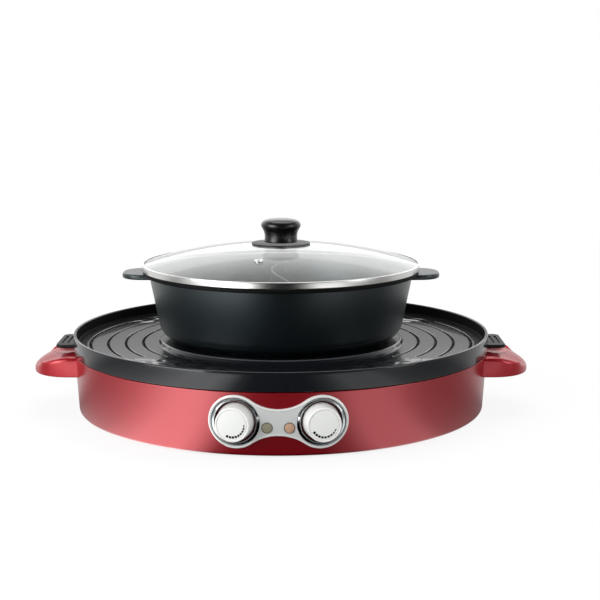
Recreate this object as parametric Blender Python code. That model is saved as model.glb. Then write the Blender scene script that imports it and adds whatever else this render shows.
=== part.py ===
"""Round electric table grill with a divided hot pot standing in the middle of its plate.

Units are metres, +Z is up, and the origin is on the table under the middle of the appliance.
The control panel looks towards -Y and the two carrying handles point along -X and +X.
"""
import math

import bmesh
import bpy
from mathutils import Matrix, Vector

# Facets and clearances
ROUND_STEPS = 44
MEDIUM_STEPS = 24
SMALL_STEPS = 12
HOTPLATE_STEPS = 32
TUBE_SIDES = 8
FILLET_FACETS = 2
MERGE = 1e-7
FIT_GAP = 0.0003
OVERCUT = 0.002
WALL_OVERCUT = 0.004

# Red base housing: a moulded shell that leans in slightly towards its foot
FOOT_HEIGHT = 0.003
HOUSING_HEIGHT = 0.0615
HOUSING_TOP_RADIUS = 0.2193
HOUSING_FOOT_RADIUS = HOUSING_TOP_RADIUS - 0.0038
HOUSING_TOP = FOOT_HEIGHT + HOUSING_HEIGHT
HOUSING_WALL = 0.0025
HOUSING_FOOT_FILLET = 0.0035
HOUSING_INNER_LEDGE = 0.0055
PAN_SHELF_DROP = 0.0015
PAN_SHELF_WIDTH = 0.0105

# Places of the big round pieces: each stands on or in the one before it
PLATE_RIM_RADIUS = HOUSING_TOP_RADIUS + 0.0007
PLATE_SURFACE = HOUSING_TOP + 0.0075
POT_BOTTOM = PLATE_SURFACE + 0.0060
POT_FLANGE_TOP = POT_BOTTOM + 0.0706
POT_FLANGE_THICKNESS = 0.0037
POT_MOUTH_RADIUS = 0.1400
POT_WALL_LEAN = 0.198
POT_FOOT_RADIUS = POT_MOUTH_RADIUS - POT_WALL_LEAN * (POT_FLANGE_TOP - POT_FLANGE_THICKNESS
                                                      - POT_BOTTOM)

# Bottom cover with its vents and rubber feet
COVER_RADIUS = HOUSING_FOOT_RADIUS - 0.0098
COVER_THICKNESS = 0.0010
VENT_COUNT = 12
VENT_RING_RADIUS = COVER_RADIUS - 0.0707
VENT_LENGTH = 0.048
VENT_WIDTH = 0.0036
FOOT_COUNT = 4
FOOT_RING_RADIUS = COVER_RADIUS - 0.0207
FOOT_RADIUS = 0.009
FOOT_STEM_RADIUS = 0.0032
FOOT_STEM_HEAD_RADIUS = 0.0048
FOOT_STEM_LENGTH = 0.0032
FOOT_HOLE_RADIUS = 0.0036

# Sheet metal reflector pan under the grill plate
PAN_THICKNESS = 0.0008
PAN_DEPTH = 0.0095
PAN_LIP_OVERLAP = 0.0115
PAN_SLOPE_RUN = 0.004
LEAD_HOLE_RADIUS = 0.0046

# Grill heater: one bent tube on four clips
GRILL_HEATER_RADIUS = PLATE_RIM_RADIUS - 0.0480
GRILL_HEATER_TUBE = 0.0033
GRILL_HEATER_CLEARANCE = 0.0028
GRILL_HEATER_GAP_DEG = 12.0
GRILL_HEATER_TAIL = 0.016
GRILL_HEATER_STEPS = 40
HEATER_BEND_RADIUS = 0.006
CLIP_COUNT = 4
CLIP_PLAY = 0.0006
CLIP_LENGTH = 0.016
CLIP_WIDTH = 0.009
CLIP_WALL_SHARE = 0.62

# Cast hotplate for the pot, on a pressed collar
HOTPLATE_RADIUS = POT_FOOT_RADIUS - 0.02875
HOTPLATE_THICKNESS = 0.0065
HOTPLATE_FILLET = 0.0015
HOTPLATE_RIB_RADIUS = HOTPLATE_RADIUS - 0.0320
HOTPLATE_RIB_WIDTH = 0.011
HOTPLATE_RIB_DEPTH = 0.0065
HOTPLATE_DISH_RADIUS = 0.018
HOTPLATE_DISH_DEPTH = 0.0012
HOTPLATE_PIN_RADIUS = 0.0028
HOTPLATE_PIN_LENGTH = 0.016
HOTPLATE_PIN_SPREAD_DEG = 14.0
COLLAR_RADIUS = HOTPLATE_RADIUS - 0.0065
COLLAR_FLANGE = 0.009
COLLAR_THICKNESS = 0.0012

# Cast grill plate
PLATE_SKIRT_RADIUS = PLATE_RIM_RADIUS + 0.0004
PLATE_RIM_TOP = PLATE_SURFACE + 0.0120
PLATE_SKIRT_BOTTOM = HOUSING_TOP + 0.0010
PLATE_FLOOR = 0.0040
PLATE_WALL = 0.0030
PLATE_WALL_FILLET = 0.0060
PLATE_EDGE_FILLET = 0.0010
PLATE_HOLE_RADIUS = HOTPLATE_RADIUS + 0.0060
RING_RADIUS = POT_FOOT_RADIUS + 0.00225
RING_RISE = 0.0037
RING_EDGE_WIDTH = 0.0020
RING_CHANNEL_DEPTH = 0.0008
RING_LIP_WIDTH = 0.0035
RING_SLOPE_RUN = 0.0025
SEAT_RING_RADIUS = PLATE_RIM_RADIUS - 0.0110
SEAT_RING_WIDTH = 0.0030
GROOVE_COUNT = 4
GROOVE_INNER_RADIUS = RING_RADIUS + 0.0180
GROOVE_PITCH = (PLATE_RIM_RADIUS - 0.0175 - GROOVE_INNER_RADIUS) / (GROOVE_COUNT - 1)
GROOVE_WIDTH = 0.0026
GROOVE_BOTTOM_WIDTH = 0.0012
GROOVE_DEPTH = 0.0012
GROOVE_FRONT_Y = -0.090
GROOVE_BACK_Y = 0.100
GROOVE_STEPS = 10
PLATE_EAR_REACH = 0.0170
PLATE_EAR_HALF_WIDTH = 0.0310
PLATE_EAR_TOP = PLATE_SURFACE - 0.0025
PLATE_EAR_THICKNESS = 0.0035
PLATE_EAR_CORNER = 0.0070
EAR_SLOT_WIDTH = 0.0022
EAR_SLOT_HALF_LENGTH = 0.0200
EAR_SLOT_DEPTH = 0.0012
EAR_SLOT_FIRST = 0.0055
EAR_SLOT_PITCH = 0.0058

# Hot pot with its S-shaped divider
POT_FLANGE_RADIUS = POT_MOUTH_RADIUS + 0.0060
POT_WALL = 0.0032
POT_FLOOR = 0.0040
POT_CORNER = 0.0100
POT_FLANGE_FILLET = 0.0010
POT_EAR_RADIUS = POT_FLANGE_RADIUS + 0.0210
POT_EAR_HALF_WIDTH = 0.0280
POT_EAR_TOP = POT_FLANGE_TOP - 0.0030
POT_EAR_THICKNESS = 0.0055
POT_EAR_ROUND_SHARE = 0.62
DIVIDER_TOP = POT_FLANGE_TOP - 0.0096
DIVIDER_WALL = 0.0030
DIVIDER_SWING = 0.0110
DIVIDER_WAVE = 2.0 * POT_MOUTH_RADIUS - 0.0160
DIVIDER_STEPS = 16

# Glass lid
LID_RADIUS = POT_FLANGE_RADIUS + 0.0008
LID_BAND_THICKNESS = 0.0006
LID_BAND_BOTTOM_FILLET = 0.0012
LID_BAND_LIP = 0.0062
GLASS_THICKNESS = 0.0040
GLASS_SPHERE_RADIUS = 0.5150
LID_EDGE_RISE = 0.006034
GLASS_APEX = (POT_FLANGE_TOP + LID_EDGE_RISE + GLASS_SPHERE_RADIUS
              - math.sqrt(GLASS_SPHERE_RADIUS ** 2 - LID_RADIUS ** 2))
GLASS_RINGS = 3
GLASS_BORE_RADIUS = 0.0034
VENT_HOLE_RADIUS = 0.0030
VENT_EYELET_RADIUS = 0.0046
VENT_EYELET_BORE = 0.0017
VENT_RADIUS_FROM_AXIS = 0.0880
VENT_AZIMUTH_DEG = -104.0
KNOB_DISC_RADIUS = 0.0312
KNOB_DISC_THICKNESS = 0.0009
KNOB_DISC_DROP = 0.0006
LID_KNOB_FOOT_RADIUS = 0.0176
LID_KNOB_NECK_RADIUS = 0.0172
LID_KNOB_HEAD_RADIUS = 0.0211
LID_KNOB_HEIGHT = 0.0250
LID_KNOB_BORE = 0.0029
LID_SCREW_RADIUS = 0.0025
LID_SCREW_HEAD_RADIUS = 0.0060
LID_SCREW_HEAD_HEIGHT = 0.0026
LID_SCREW_REACH = 0.0140
LID_WASHER_RADIUS = 0.0100
LID_WASHER_THICKNESS = 0.0014

# Control panel: a dog-bone plate bent round the housing
CONTROL_HEIGHT = HOUSING_TOP - 0.0282
CONTROL_HALF_SPREAD = 0.0401
PANEL_LOBE_RADIUS = 0.0258
PANEL_WAIST_HALF_HEIGHT = 0.01285
PANEL_THICKNESS = 0.0024
PANEL_STATIONS = 21
BEZEL_RADIUS = 0.0231
BEZEL_BORE = 0.0199
BEZEL_RECESS = 0.0008
BEZEL_SLOPE = 0.0018
BEZEL_FLOOR_DEPTH = 0.0030
BEZEL_FLOOR_THICKNESS = 0.0016
LENS_RADIUS = 0.0051
LENS_HALF_SPREAD = 0.01035
LENS_DROP = 0.0050
LENS_LENGTH = 0.0090
LENS_DOME = 0.0007
LAMP_RADIUS = 0.0034
LAMP_LENGTH = 0.0130

# Control knobs, shafts and thermostats
KNOB_SKIRT_RADIUS = 0.0176
KNOB_FACE_RADIUS = 0.0162
KNOB_FACE_DEPTH = 0.0150
KNOB_INLAY_RADIUS = 0.0145
KNOB_INLAY_DEPTH = 0.0006
KNOB_EDGE_FILLET = 0.0012
KNOB_RUNNING_GAP = 0.0005
KNOB_SOCKET_DEPTH = 0.0090
SHAFT_RADIUS = 0.0030
SHAFT_FLAT_SHARE = 0.45
SHAFT_CLEARANCE = 0.00015
BUSH_RADIUS = 0.0048
THERMOSTAT_WIDTH = 0.030
THERMOSTAT_HEIGHT = 0.026
THERMOSTAT_DEPTH = 0.016
THERMOSTAT_BORE_DEPTH = 0.0090

# Carrying handles
HANDLE_REACH = 0.0455
HANDLE_HALF_WIDTH = 0.0600
HANDLE_BOTTOM = HOUSING_TOP - 0.0215
HANDLE_ROOT_TOP = HOUSING_TOP - 0.0005
HANDLE_NOSE_ROUND = 0.0035
HANDLE_PLAN_POWER = 2.3
HANDLE_STATIONS = 12
HANDLE_ROOT_SPARE = 0.0015
HANDLE_FILLET = 0.0035
HANDLE_PAD_DROP = 0.0025
HANDLE_PAD_SHARE = 0.80
HANDLE_RIM_SHARE = 0.85
HANDLE_RIM_END = 0.0370
HANDLE_RIM_FADE = 0.0050
HANDLE_WALL = 0.0032
HANDLE_POCKET_HEIGHT_SHARE = 0.50
SCOOP_HALF_LENGTH = 0.0250
SCOOP_HALF_WIDTH = 0.0260
SCOOP_HALF_DEPTH = 0.0090
SCOOP_FROM_WALL = 0.0100
SCOOP_CENTRE_Z = HANDLE_BOTTOM + 0.0225

# Electrical pieces inside the housing
CUTOUT_SIZE = (0.020, 0.011, 0.007)
CUTOUT_PLACE = (0.060, 0.0)
TERMINAL_SIZE = (0.046, 0.018, 0.016)
TERMINAL_Y = COVER_RADIUS - 0.0557
INLET_WIDTH = 0.031
INLET_HEIGHT = 0.0235
INLET_DEPTH = 0.024
INLET_FLANGE = 0.0045
INLET_FLANGE_THICKNESS = 0.0022
INLET_WALL = 0.0022
INLET_SOCKET_DEPTH = 0.017
INLET_PIN_LENGTH = 0.0100
INLET_PIN_SIZE = (0.0040, 0.0020)
INLET_PIN_SPREAD = 0.0070
INLET_CORNER = 0.0030

# Material finishes: name, colour, metallic, roughness
FINISHES = {
    "red_shell": ((0.33, 0.008, 0.022), 0.0, 0.30),
    "red_handle": ((0.40, 0.014, 0.030), 0.0, 0.26),
    "black_coating": ((0.018, 0.020, 0.023), 0.10, 0.38),
    "black_plastic": ((0.014, 0.014, 0.015), 0.0, 0.30),
    "sheet_steel": ((0.56, 0.56, 0.55), 1.0, 0.38),
    "polished_steel": ((0.78, 0.78, 0.77), 1.0, 0.14),
    "cast_aluminium": ((0.50, 0.50, 0.50), 1.0, 0.45),
    "heater_sheath": ((0.16, 0.15, 0.14), 1.0, 0.50),
    "dark_chrome": ((0.20, 0.21, 0.22), 1.0, 0.16),
    "silver_plastic": ((0.62, 0.63, 0.62), 0.2, 0.30),
    "white_plastic": ((0.80, 0.80, 0.78), 0.0, 0.30),
    "thermoset": ((0.66, 0.62, 0.52), 0.0, 0.55),
    "clear_glass": ((0.92, 0.95, 0.94), 0.0, 0.03),
    "silicone": ((0.60, 0.60, 0.58), 0.0, 0.60),
    "foot_rubber": ((0.02, 0.02, 0.02), 0.0, 0.80),
    "olive_lens": ((0.28, 0.27, 0.19), 0.0, 0.18),
    "amber_lens": ((0.72, 0.36, 0.20), 0.0, 0.18),
}

# Heights and radii that several pieces share
COVER_BOTTOM = FOOT_HEIGHT + FIT_GAP
COVER_TOP = COVER_BOTTOM + COVER_THICKNESS
PAN_SHELF_TOP = HOUSING_TOP - PAN_SHELF_DROP - FIT_GAP
PAN_LIP_TOP = PAN_SHELF_TOP + FIT_GAP + PAN_THICKNESS
PAN_FLOOR_TOP = PAN_LIP_TOP - PAN_DEPTH
HOTPLATE_TOP = POT_BOTTOM - FIT_GAP
HOTPLATE_BOTTOM = HOTPLATE_TOP - HOTPLATE_THICKNESS
KNOB_DISC_BOTTOM = GLASS_APEX + FIT_GAP


def wall_radius(height):
    """Outer radius of the leaning housing wall at a height."""
    lean = (HOUSING_TOP_RADIUS - HOUSING_FOOT_RADIUS) / HOUSING_HEIGHT
    return HOUSING_FOOT_RADIUS + lean * (height - FOOT_HEIGHT)


def pot_wall_radius(height):
    """Outer radius of the leaning pot wall at a height."""
    return POT_MOUTH_RADIUS - POT_WALL_LEAN * (POT_FLANGE_TOP - POT_FLANGE_THICKNESS - height)


def glass_height(radius, thickness=0.0):
    """Height of the lid's spherical glass at a radius, at a depth under its outer face."""
    sphere = GLASS_SPHERE_RADIUS - thickness
    return GLASS_APEX - GLASS_SPHERE_RADIUS + math.sqrt(sphere ** 2 - radius ** 2)


def radial_frame(azimuth_deg, height, radius):
    """Local +Z points out from the base's axis, +Y points up, and zero lies at the radius."""
    azimuth = math.radians(azimuth_deg)
    outward = Vector((math.cos(azimuth), math.sin(azimuth), 0.0))
    upward = Vector((0.0, 0.0, 1.0))
    sideways = upward.cross(outward)
    turn = Matrix((sideways, upward, outward)).transposed().to_4x4()
    return Matrix.Translation(outward * radius + upward * height) @ turn


CONTROL_WALL_RADIUS = wall_radius(CONTROL_HEIGHT)
CONTROL_SPREAD_DEG = math.degrees(CONTROL_HALF_SPREAD / CONTROL_WALL_RADIUS)
LENS_SPREAD_DEG = math.degrees(LENS_HALF_SPREAD / CONTROL_WALL_RADIUS)
PANEL_FRONT_DEPTH = FIT_GAP + PANEL_THICKNESS
BEZEL_FLOOR_FRONT = -BEZEL_FLOOR_DEPTH
FRONT_AZIMUTH_DEG = -90.0
SIDES = (("left", -1), ("right", 1))


def remove_everything():
    for thing in list(bpy.data.objects):
        bpy.data.objects.remove(thing, do_unlink=True)


def finish(name):
    """The Principled material of one finish, made once and shared."""
    material = bpy.data.materials.get(name)
    if material is None:
        colour, metallic, roughness = FINISHES[name]
        material = bpy.data.materials.new(name)
        material.use_nodes = True
        shader = material.node_tree.nodes["Principled BSDF"]
        shader.inputs["Base Color"].default_value = (*colour, 1.0)
        shader.inputs["Metallic"].default_value = metallic
        shader.inputs["Roughness"].default_value = roughness
        if name == "clear_glass":
            shader.inputs["Transmission Weight"].default_value = 1.0
    return material


def make_object(name, mesh_builder, finish_name=None, frame=None, parent=None):
    """Turn a bmesh into an object, shade it smooth and place it in its frame."""
    bmesh.ops.remove_doubles(mesh_builder, verts=mesh_builder.verts, dist=MERGE)
    bmesh.ops.recalc_face_normals(mesh_builder, faces=mesh_builder.faces)
    mesh = bpy.data.meshes.new(name)
    mesh_builder.to_mesh(mesh)
    mesh_builder.free()
    mesh.shade_smooth()
    mesh.set_sharp_from_angle(angle=math.radians(32.0))
    thing = bpy.data.objects.new(name, mesh)
    bpy.context.scene.collection.objects.link(thing)
    if finish_name:
        mesh.materials.append(finish(finish_name))
    if parent is not None:
        thing.parent = parent
        thing.matrix_parent_inverse = parent.matrix_world.inverted()
    thing.matrix_world = frame or Matrix.Identity(4)
    return thing


def make_axis(name, frame, parent=None):
    """An empty on a joint's axis, which its moving pieces hang from."""
    axis = bpy.data.objects.new(name, None)
    bpy.context.scene.collection.objects.link(axis)
    if parent is not None:
        axis.parent = parent
        axis.matrix_parent_inverse = parent.matrix_world.inverted()
    axis.matrix_world = frame
    bpy.context.view_layer.update()
    return axis


def as_cutter(thing):
    thing.hide_render = True
    thing.display_type = "WIRE"
    return thing


def combine(target, other, operation="DIFFERENCE"):
    """Cut another object out of the target, or join it on."""
    as_cutter(other)
    modifier = target.modifiers.new(operation.title() + "_" + other.name, "BOOLEAN")
    modifier.operation = operation
    modifier.solver = "EXACT"
    modifier.object = other
    return target


def rounded(corners, closed=True, facets=FILLET_FACETS):
    """Outline through its corners; a corner's third number is the radius that rounds it."""
    outline = []
    count = len(corners)
    for index, corner in enumerate(corners):
        here = Vector(corner[:2])
        radius = corner[2] if len(corner) > 2 else 0.0
        at_end = not closed and index in (0, count - 1)
        if radius == 0.0 or at_end:
            outline.append(tuple(here))
            continue
        back = (Vector(corners[index - 1][:2]) - here).normalized()
        ahead = (Vector(corners[(index + 1) % count][:2]) - here).normalized()
        half_angle = back.angle(ahead) / 2.0
        centre = here + (back + ahead).normalized() * radius / math.sin(half_angle)
        start = here + back * radius / math.tan(half_angle) - centre
        end = here + ahead * radius / math.tan(half_angle) - centre
        sweep = start.angle_signed(end)
        for step in range(facets + 1):
            outline.append(tuple(centre + Matrix.Rotation(-sweep * step / facets, 2) @ start))
    return outline


def turned(name, outline, finish_name=None, steps=ROUND_STEPS, frame=None, parent=None):
    """Solid of revolution about local Z from an outline of (radius, height) points."""
    builder = bmesh.new()
    verts = [builder.verts.new((radius, 0.0, height)) for radius, height in outline]
    edges = []
    for first, second in zip(verts, verts[1:] + verts[:1]):
        if first.co.x > 0.0 or second.co.x > 0.0:
            edges.append(builder.edges.new((first, second)))
    bmesh.ops.spin(builder, geom=verts + edges, cent=(0.0, 0.0, 0.0), axis=(0.0, 0.0, 1.0),
                   dvec=(0.0, 0.0, 0.0), angle=math.tau, steps=steps, use_merge=True)
    return make_object(name, builder, finish_name, frame, parent)


def lofted(name, sections, finish_name=None, frame=None, parent=None, closed=False):
    """Solid through matching section loops, capped at both ends unless the loft is closed."""
    builder = bmesh.new()
    loops = [[builder.verts.new(point) for point in section] for section in sections]
    pairs = list(zip(loops, loops[1:] + loops[:1])) if closed else list(zip(loops, loops[1:]))
    for near, far in pairs:
        for index in range(len(near)):
            after = (index + 1) % len(near)
            builder.faces.new((near[index], near[after], far[after], far[index]))
    if not closed:
        builder.faces.new(loops[0][::-1])
        builder.faces.new(loops[-1])
    return make_object(name, builder, finish_name, frame, parent)


def extruded(name, outline, bottom, top, finish_name=None, frame=None, parent=None):
    """Flat outline in local X and Y raised from one height to another."""
    sections = [[(x, y, height) for x, y in outline] for height in (bottom, top)]
    return lofted(name, sections, finish_name, frame, parent)


def rounded_rectangle(width, height, corner, centre=(0.0, 0.0), facets=FILLET_FACETS):
    half_width, half_height = width / 2.0, height / 2.0
    signs = ((1, 1), (-1, 1), (-1, -1), (1, -1))
    corners = [(centre[0] + sx * half_width, centre[1] + sy * half_height, corner)
               for sx, sy in signs]
    return rounded(corners, facets=facets)


def disc_cutter(name, radius, bottom, top, frame=None, steps=SMALL_STEPS):
    outline = [(0.0, top), (radius, top), (radius, bottom), (0.0, bottom)]
    return turned(name, outline, steps=steps, frame=frame)


def knob_frame(side):
    """Frame of one control knob, on the housing wall at the middle of its panel lobe."""
    azimuth = FRONT_AZIMUTH_DEG + side * CONTROL_SPREAD_DEG
    return radial_frame(azimuth, CONTROL_HEIGHT, CONTROL_WALL_RADIUS)


def lens_frame(side):
    azimuth = FRONT_AZIMUTH_DEG + side * LENS_SPREAD_DEG
    height = CONTROL_HEIGHT - LENS_DROP
    return radial_frame(azimuth, height, wall_radius(height))


def inlet_frame():
    """Frame of the power inlet, square to the leaning wall at the back."""
    lean = math.atan2(HOUSING_TOP_RADIUS - HOUSING_FOOT_RADIUS, HOUSING_HEIGHT)
    upright = radial_frame(-FRONT_AZIMUTH_DEG, CONTROL_HEIGHT, CONTROL_WALL_RADIUS)
    return upright @ Matrix.Rotation(lean, 4, "X")


def make_housing():
    """Red shell with a shelf for the pan, a ledge for the cover and holes for the controls."""
    inner_top = HOUSING_TOP_RADIUS - HOUSING_WALL
    inner_foot = HOUSING_FOOT_RADIUS - HOUSING_WALL
    ledge_bottom = COVER_TOP + FIT_GAP
    ledge_top = ledge_bottom + HOUSING_WALL
    shelf_bottom = PAN_SHELF_TOP - HOUSING_WALL
    opening = COVER_RADIUS + FIT_GAP
    outline = rounded([
        (HOUSING_TOP_RADIUS, HOUSING_TOP),
        (HOUSING_FOOT_RADIUS, FOOT_HEIGHT, HOUSING_FOOT_FILLET),
        (opening, FOOT_HEIGHT),
        (opening, ledge_bottom),
        (opening - HOUSING_INNER_LEDGE, ledge_bottom),
        (opening - HOUSING_INNER_LEDGE, ledge_top),
        (inner_foot, ledge_top),
        (wall_radius(shelf_bottom) - HOUSING_WALL, shelf_bottom),
        (inner_top - PAN_SHELF_WIDTH, shelf_bottom),
        (inner_top - PAN_SHELF_WIDTH, PAN_SHELF_TOP),
        (inner_top, PAN_SHELF_TOP),
        (inner_top, HOUSING_TOP),
    ])
    housing = turned("base_housing", outline, "red_shell")
    for label, side in SIDES:
        hole = disc_cutter(label + "_bezel_hole", BEZEL_RADIUS + FIT_GAP,
                           -HOUSING_WALL - WALL_OVERCUT, WALL_OVERCUT, knob_frame(side), MEDIUM_STEPS)
        combine(housing, hole)
        hole = disc_cutter(label + "_lens_hole", LENS_RADIUS + FIT_GAP,
                           -HOUSING_WALL - WALL_OVERCUT, WALL_OVERCUT, lens_frame(side))
        combine(housing, hole)
    window = rounded_rectangle(INLET_WIDTH + 2.0 * FIT_GAP, INLET_HEIGHT + 2.0 * FIT_GAP,
                               INLET_CORNER)
    combine(housing, extruded("inlet_window", window, -HOUSING_WALL - WALL_OVERCUT, WALL_OVERCUT,
                              frame=inlet_frame()))
    return housing


def make_bottom_cover():
    """Flat steel cover with a ring of vents and a hole for each foot's stem."""
    outline = [(0.0, COVER_TOP), (COVER_RADIUS, COVER_TOP),
               (COVER_RADIUS, COVER_BOTTOM), (0.0, COVER_BOTTOM)]
    cover = turned("bottom_cover", outline, "black_coating")
    slot = rounded_rectangle(VENT_LENGTH, VENT_WIDTH, VENT_WIDTH / 3.0,
                             (VENT_RING_RADIUS, 0.0), 1)
    for index in range(VENT_COUNT):
        turn = Matrix.Rotation(math.tau * (index + 0.5) / VENT_COUNT, 4, "Z")
        combine(cover, extruded("vent_slot_%02d" % index, slot, COVER_BOTTOM - OVERCUT,
                                COVER_TOP + OVERCUT, frame=turn))
    for index, place in enumerate(foot_places()):
        combine(cover, disc_cutter("foot_hole_%d" % index, FOOT_HOLE_RADIUS,
                                   COVER_BOTTOM - OVERCUT, COVER_TOP + OVERCUT, place))
    return cover


def foot_places():
    """Frames of the feet, spread evenly with none in front of the panel's middle."""
    places = []
    for index in range(FOOT_COUNT):
        azimuth = math.tau * (index + 0.5) / FOOT_COUNT + math.pi / 2.0
        places.append(Matrix.Translation((FOOT_RING_RADIUS * math.cos(azimuth),
                                          FOOT_RING_RADIUS * math.sin(azimuth), 0.0)))
    return places


def make_feet():
    """Rubber feet that snap through the cover with a barbed stem."""
    pad_top = COVER_BOTTOM - FIT_GAP
    barb_bottom = COVER_TOP + FIT_GAP
    barb_top = barb_bottom + FOOT_STEM_LENGTH
    outline = rounded([
        (0.0, barb_top),
        (FOOT_STEM_RADIUS, barb_top),
        (FOOT_STEM_HEAD_RADIUS, barb_bottom),
        (FOOT_STEM_RADIUS, barb_bottom),
        (FOOT_STEM_RADIUS, pad_top),
        (FOOT_RADIUS, pad_top),
        (FOOT_RADIUS, 0.0),
        (0.0, 0.0),
    ])
    for index, place in enumerate(foot_places()):
        turned("foot_%d" % (index + 1), outline, "foot_rubber", SMALL_STEPS, place)


def make_reflector_pan():
    """Pressed steel tray whose lip lies on the housing's shelf and carries the grill plate."""
    lip_radius = HOUSING_TOP_RADIUS - HOUSING_WALL - 2.0 * FIT_GAP
    slope_top = lip_radius - PAN_LIP_OVERLAP
    slope_bottom = slope_top - PAN_SLOPE_RUN
    floor_bottom = PAN_FLOOR_TOP - PAN_THICKNESS
    outline = [
        (0.0, PAN_FLOOR_TOP),
        (slope_bottom - PAN_THICKNESS, PAN_FLOOR_TOP),
        (slope_top - PAN_THICKNESS, PAN_LIP_TOP),
        (lip_radius, PAN_LIP_TOP),
        (lip_radius, PAN_LIP_TOP - PAN_THICKNESS),
        (slope_top, PAN_LIP_TOP - PAN_THICKNESS),
        (slope_bottom, floor_bottom),
        (0.0, floor_bottom),
    ]
    pan = turned("reflector_pan", outline, "sheet_steel")
    for index, place in enumerate(lead_places()):
        combine(pan, disc_cutter("lead_hole_%d" % index, LEAD_HOLE_RADIUS,
                                 floor_bottom - OVERCUT, PAN_FLOOR_TOP + OVERCUT, place))
    return pan


def heater_tail_angles():
    half_gap = math.radians(GRILL_HEATER_GAP_DEG) / 2.0
    return (math.pi / 2.0 + half_gap, math.pi / 2.0 - half_gap + math.tau)


def hotplate_pin_places():
    half_spread = math.radians(HOTPLATE_PIN_SPREAD_DEG) / 2.0
    return [(HOTPLATE_RIB_RADIUS * math.cos(math.pi / 2.0 + sign * half_spread),
             HOTPLATE_RIB_RADIUS * math.sin(math.pi / 2.0 + sign * half_spread))
            for sign in (-1, 1)]


def lead_places():
    """Holes of the pan: two for the grill heater's tails and two for the hotplate's pins."""
    places = [(GRILL_HEATER_RADIUS * math.cos(angle), GRILL_HEATER_RADIUS * math.sin(angle))
              for angle in heater_tail_angles()]
    places += hotplate_pin_places()
    return [Matrix.Translation((x, y, 0.0)) for x, y in places]


def grill_heater_height():
    return PLATE_SURFACE - PLATE_FLOOR - GRILL_HEATER_CLEARANCE - GRILL_HEATER_TUBE


def tube_sections(path, radius):
    """Round section loops square to a path that circles the Z axis, for a bent tube."""
    sections = []
    last = len(path) - 1
    for index, place in enumerate(path):
        along = (path[min(index + 1, last)] - path[max(index - 1, 0)]).normalized()
        outward = Vector((place.x, place.y, 0.0))
        across = (outward - along * outward.dot(along)).normalized()
        other = along.cross(across)
        loop = []
        for step in range(TUBE_SIDES):
            angle = math.tau * step / TUBE_SIDES
            loop.append(place + (across * math.cos(angle) + other * math.sin(angle)) * radius)
        sections.append(loop)
    return sections


def make_grill_heater():
    """Tubular heater: almost a full ring, with both ends bent down through the pan."""
    height = grill_heater_height()
    start, end = heater_tail_angles()
    tail_bottom = PAN_FLOOR_TOP - GRILL_HEATER_TAIL
    ring = []
    for step in range(GRILL_HEATER_STEPS + 1):
        angle = start + (end - start) * step / GRILL_HEATER_STEPS
        ring.append(Vector((GRILL_HEATER_RADIUS * math.cos(angle),
                            GRILL_HEATER_RADIUS * math.sin(angle), height)))
    first_tail = bent_tail(ring[0], ring[1], tail_bottom)
    last_tail = bent_tail(ring[-1], ring[-2], tail_bottom)
    path = first_tail[::-1] + ring[1:-1] + last_tail
    return lofted("grill_heater", tube_sections(path, GRILL_HEATER_TUBE), "heater_sheath")


def bent_tail(corner, inner_neighbour, bottom):
    """Points from the ring into a quarter bend and straight down at the ring's end."""
    along = (corner - inner_neighbour).normalized()
    centre = corner - along * HEATER_BEND_RADIUS - Vector((0.0, 0.0, HEATER_BEND_RADIUS))
    points = []
    bend_steps = 4
    for step in range(bend_steps + 1):
        angle = math.pi / 2.0 * (1.0 - step / bend_steps)
        points.append(centre + along * HEATER_BEND_RADIUS * math.cos(angle)
                      + Vector((0.0, 0.0, HEATER_BEND_RADIUS * math.sin(angle))))
    points.append(Vector((corner.x, corner.y, bottom)))
    return points


def make_heater_clips():
    """Bent clips on the pan that cradle the grill heater."""
    bottom = PAN_FLOOR_TOP + FIT_GAP
    centre_z = grill_heater_height()
    cradle = GRILL_HEATER_TUBE + CLIP_PLAY
    top = centre_z + cradle * (CLIP_WALL_SHARE - 0.5)
    half_width = cradle + (CLIP_LENGTH - 2.0 * cradle) / 6.0
    base_top = bottom + (CLIP_LENGTH - 2.0 * cradle) / 6.0
    cradle_outline = []
    cradle_steps = 8
    rise = math.asin((top - centre_z) / cradle)
    for step in range(cradle_steps + 1):
        angle = rise - (math.pi + 2.0 * rise) * step / cradle_steps
        cradle_outline.append((cradle * math.cos(angle), centre_z + cradle * math.sin(angle)))
    outline = [(CLIP_LENGTH / 2.0, bottom), (CLIP_LENGTH / 2.0, base_top), (half_width, base_top),
               (half_width, top)] + cradle_outline
    outline += [(-half_width, top), (-half_width, base_top), (-CLIP_LENGTH / 2.0, base_top),
                (-CLIP_LENGTH / 2.0, bottom)]
    start, end = heater_tail_angles()
    for index in range(CLIP_COUNT):
        turn = Matrix.Rotation(start + (end - start) * (index + 0.5) / CLIP_COUNT, 4, "Z")
        sections = [[(GRILL_HEATER_RADIUS + x, y, z) for x, z in outline]
                    for y in (-CLIP_WIDTH / 2.0, CLIP_WIDTH / 2.0)]
        lofted("heater_clip_%d" % (index + 1), sections, "sheet_steel", turn)


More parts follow.
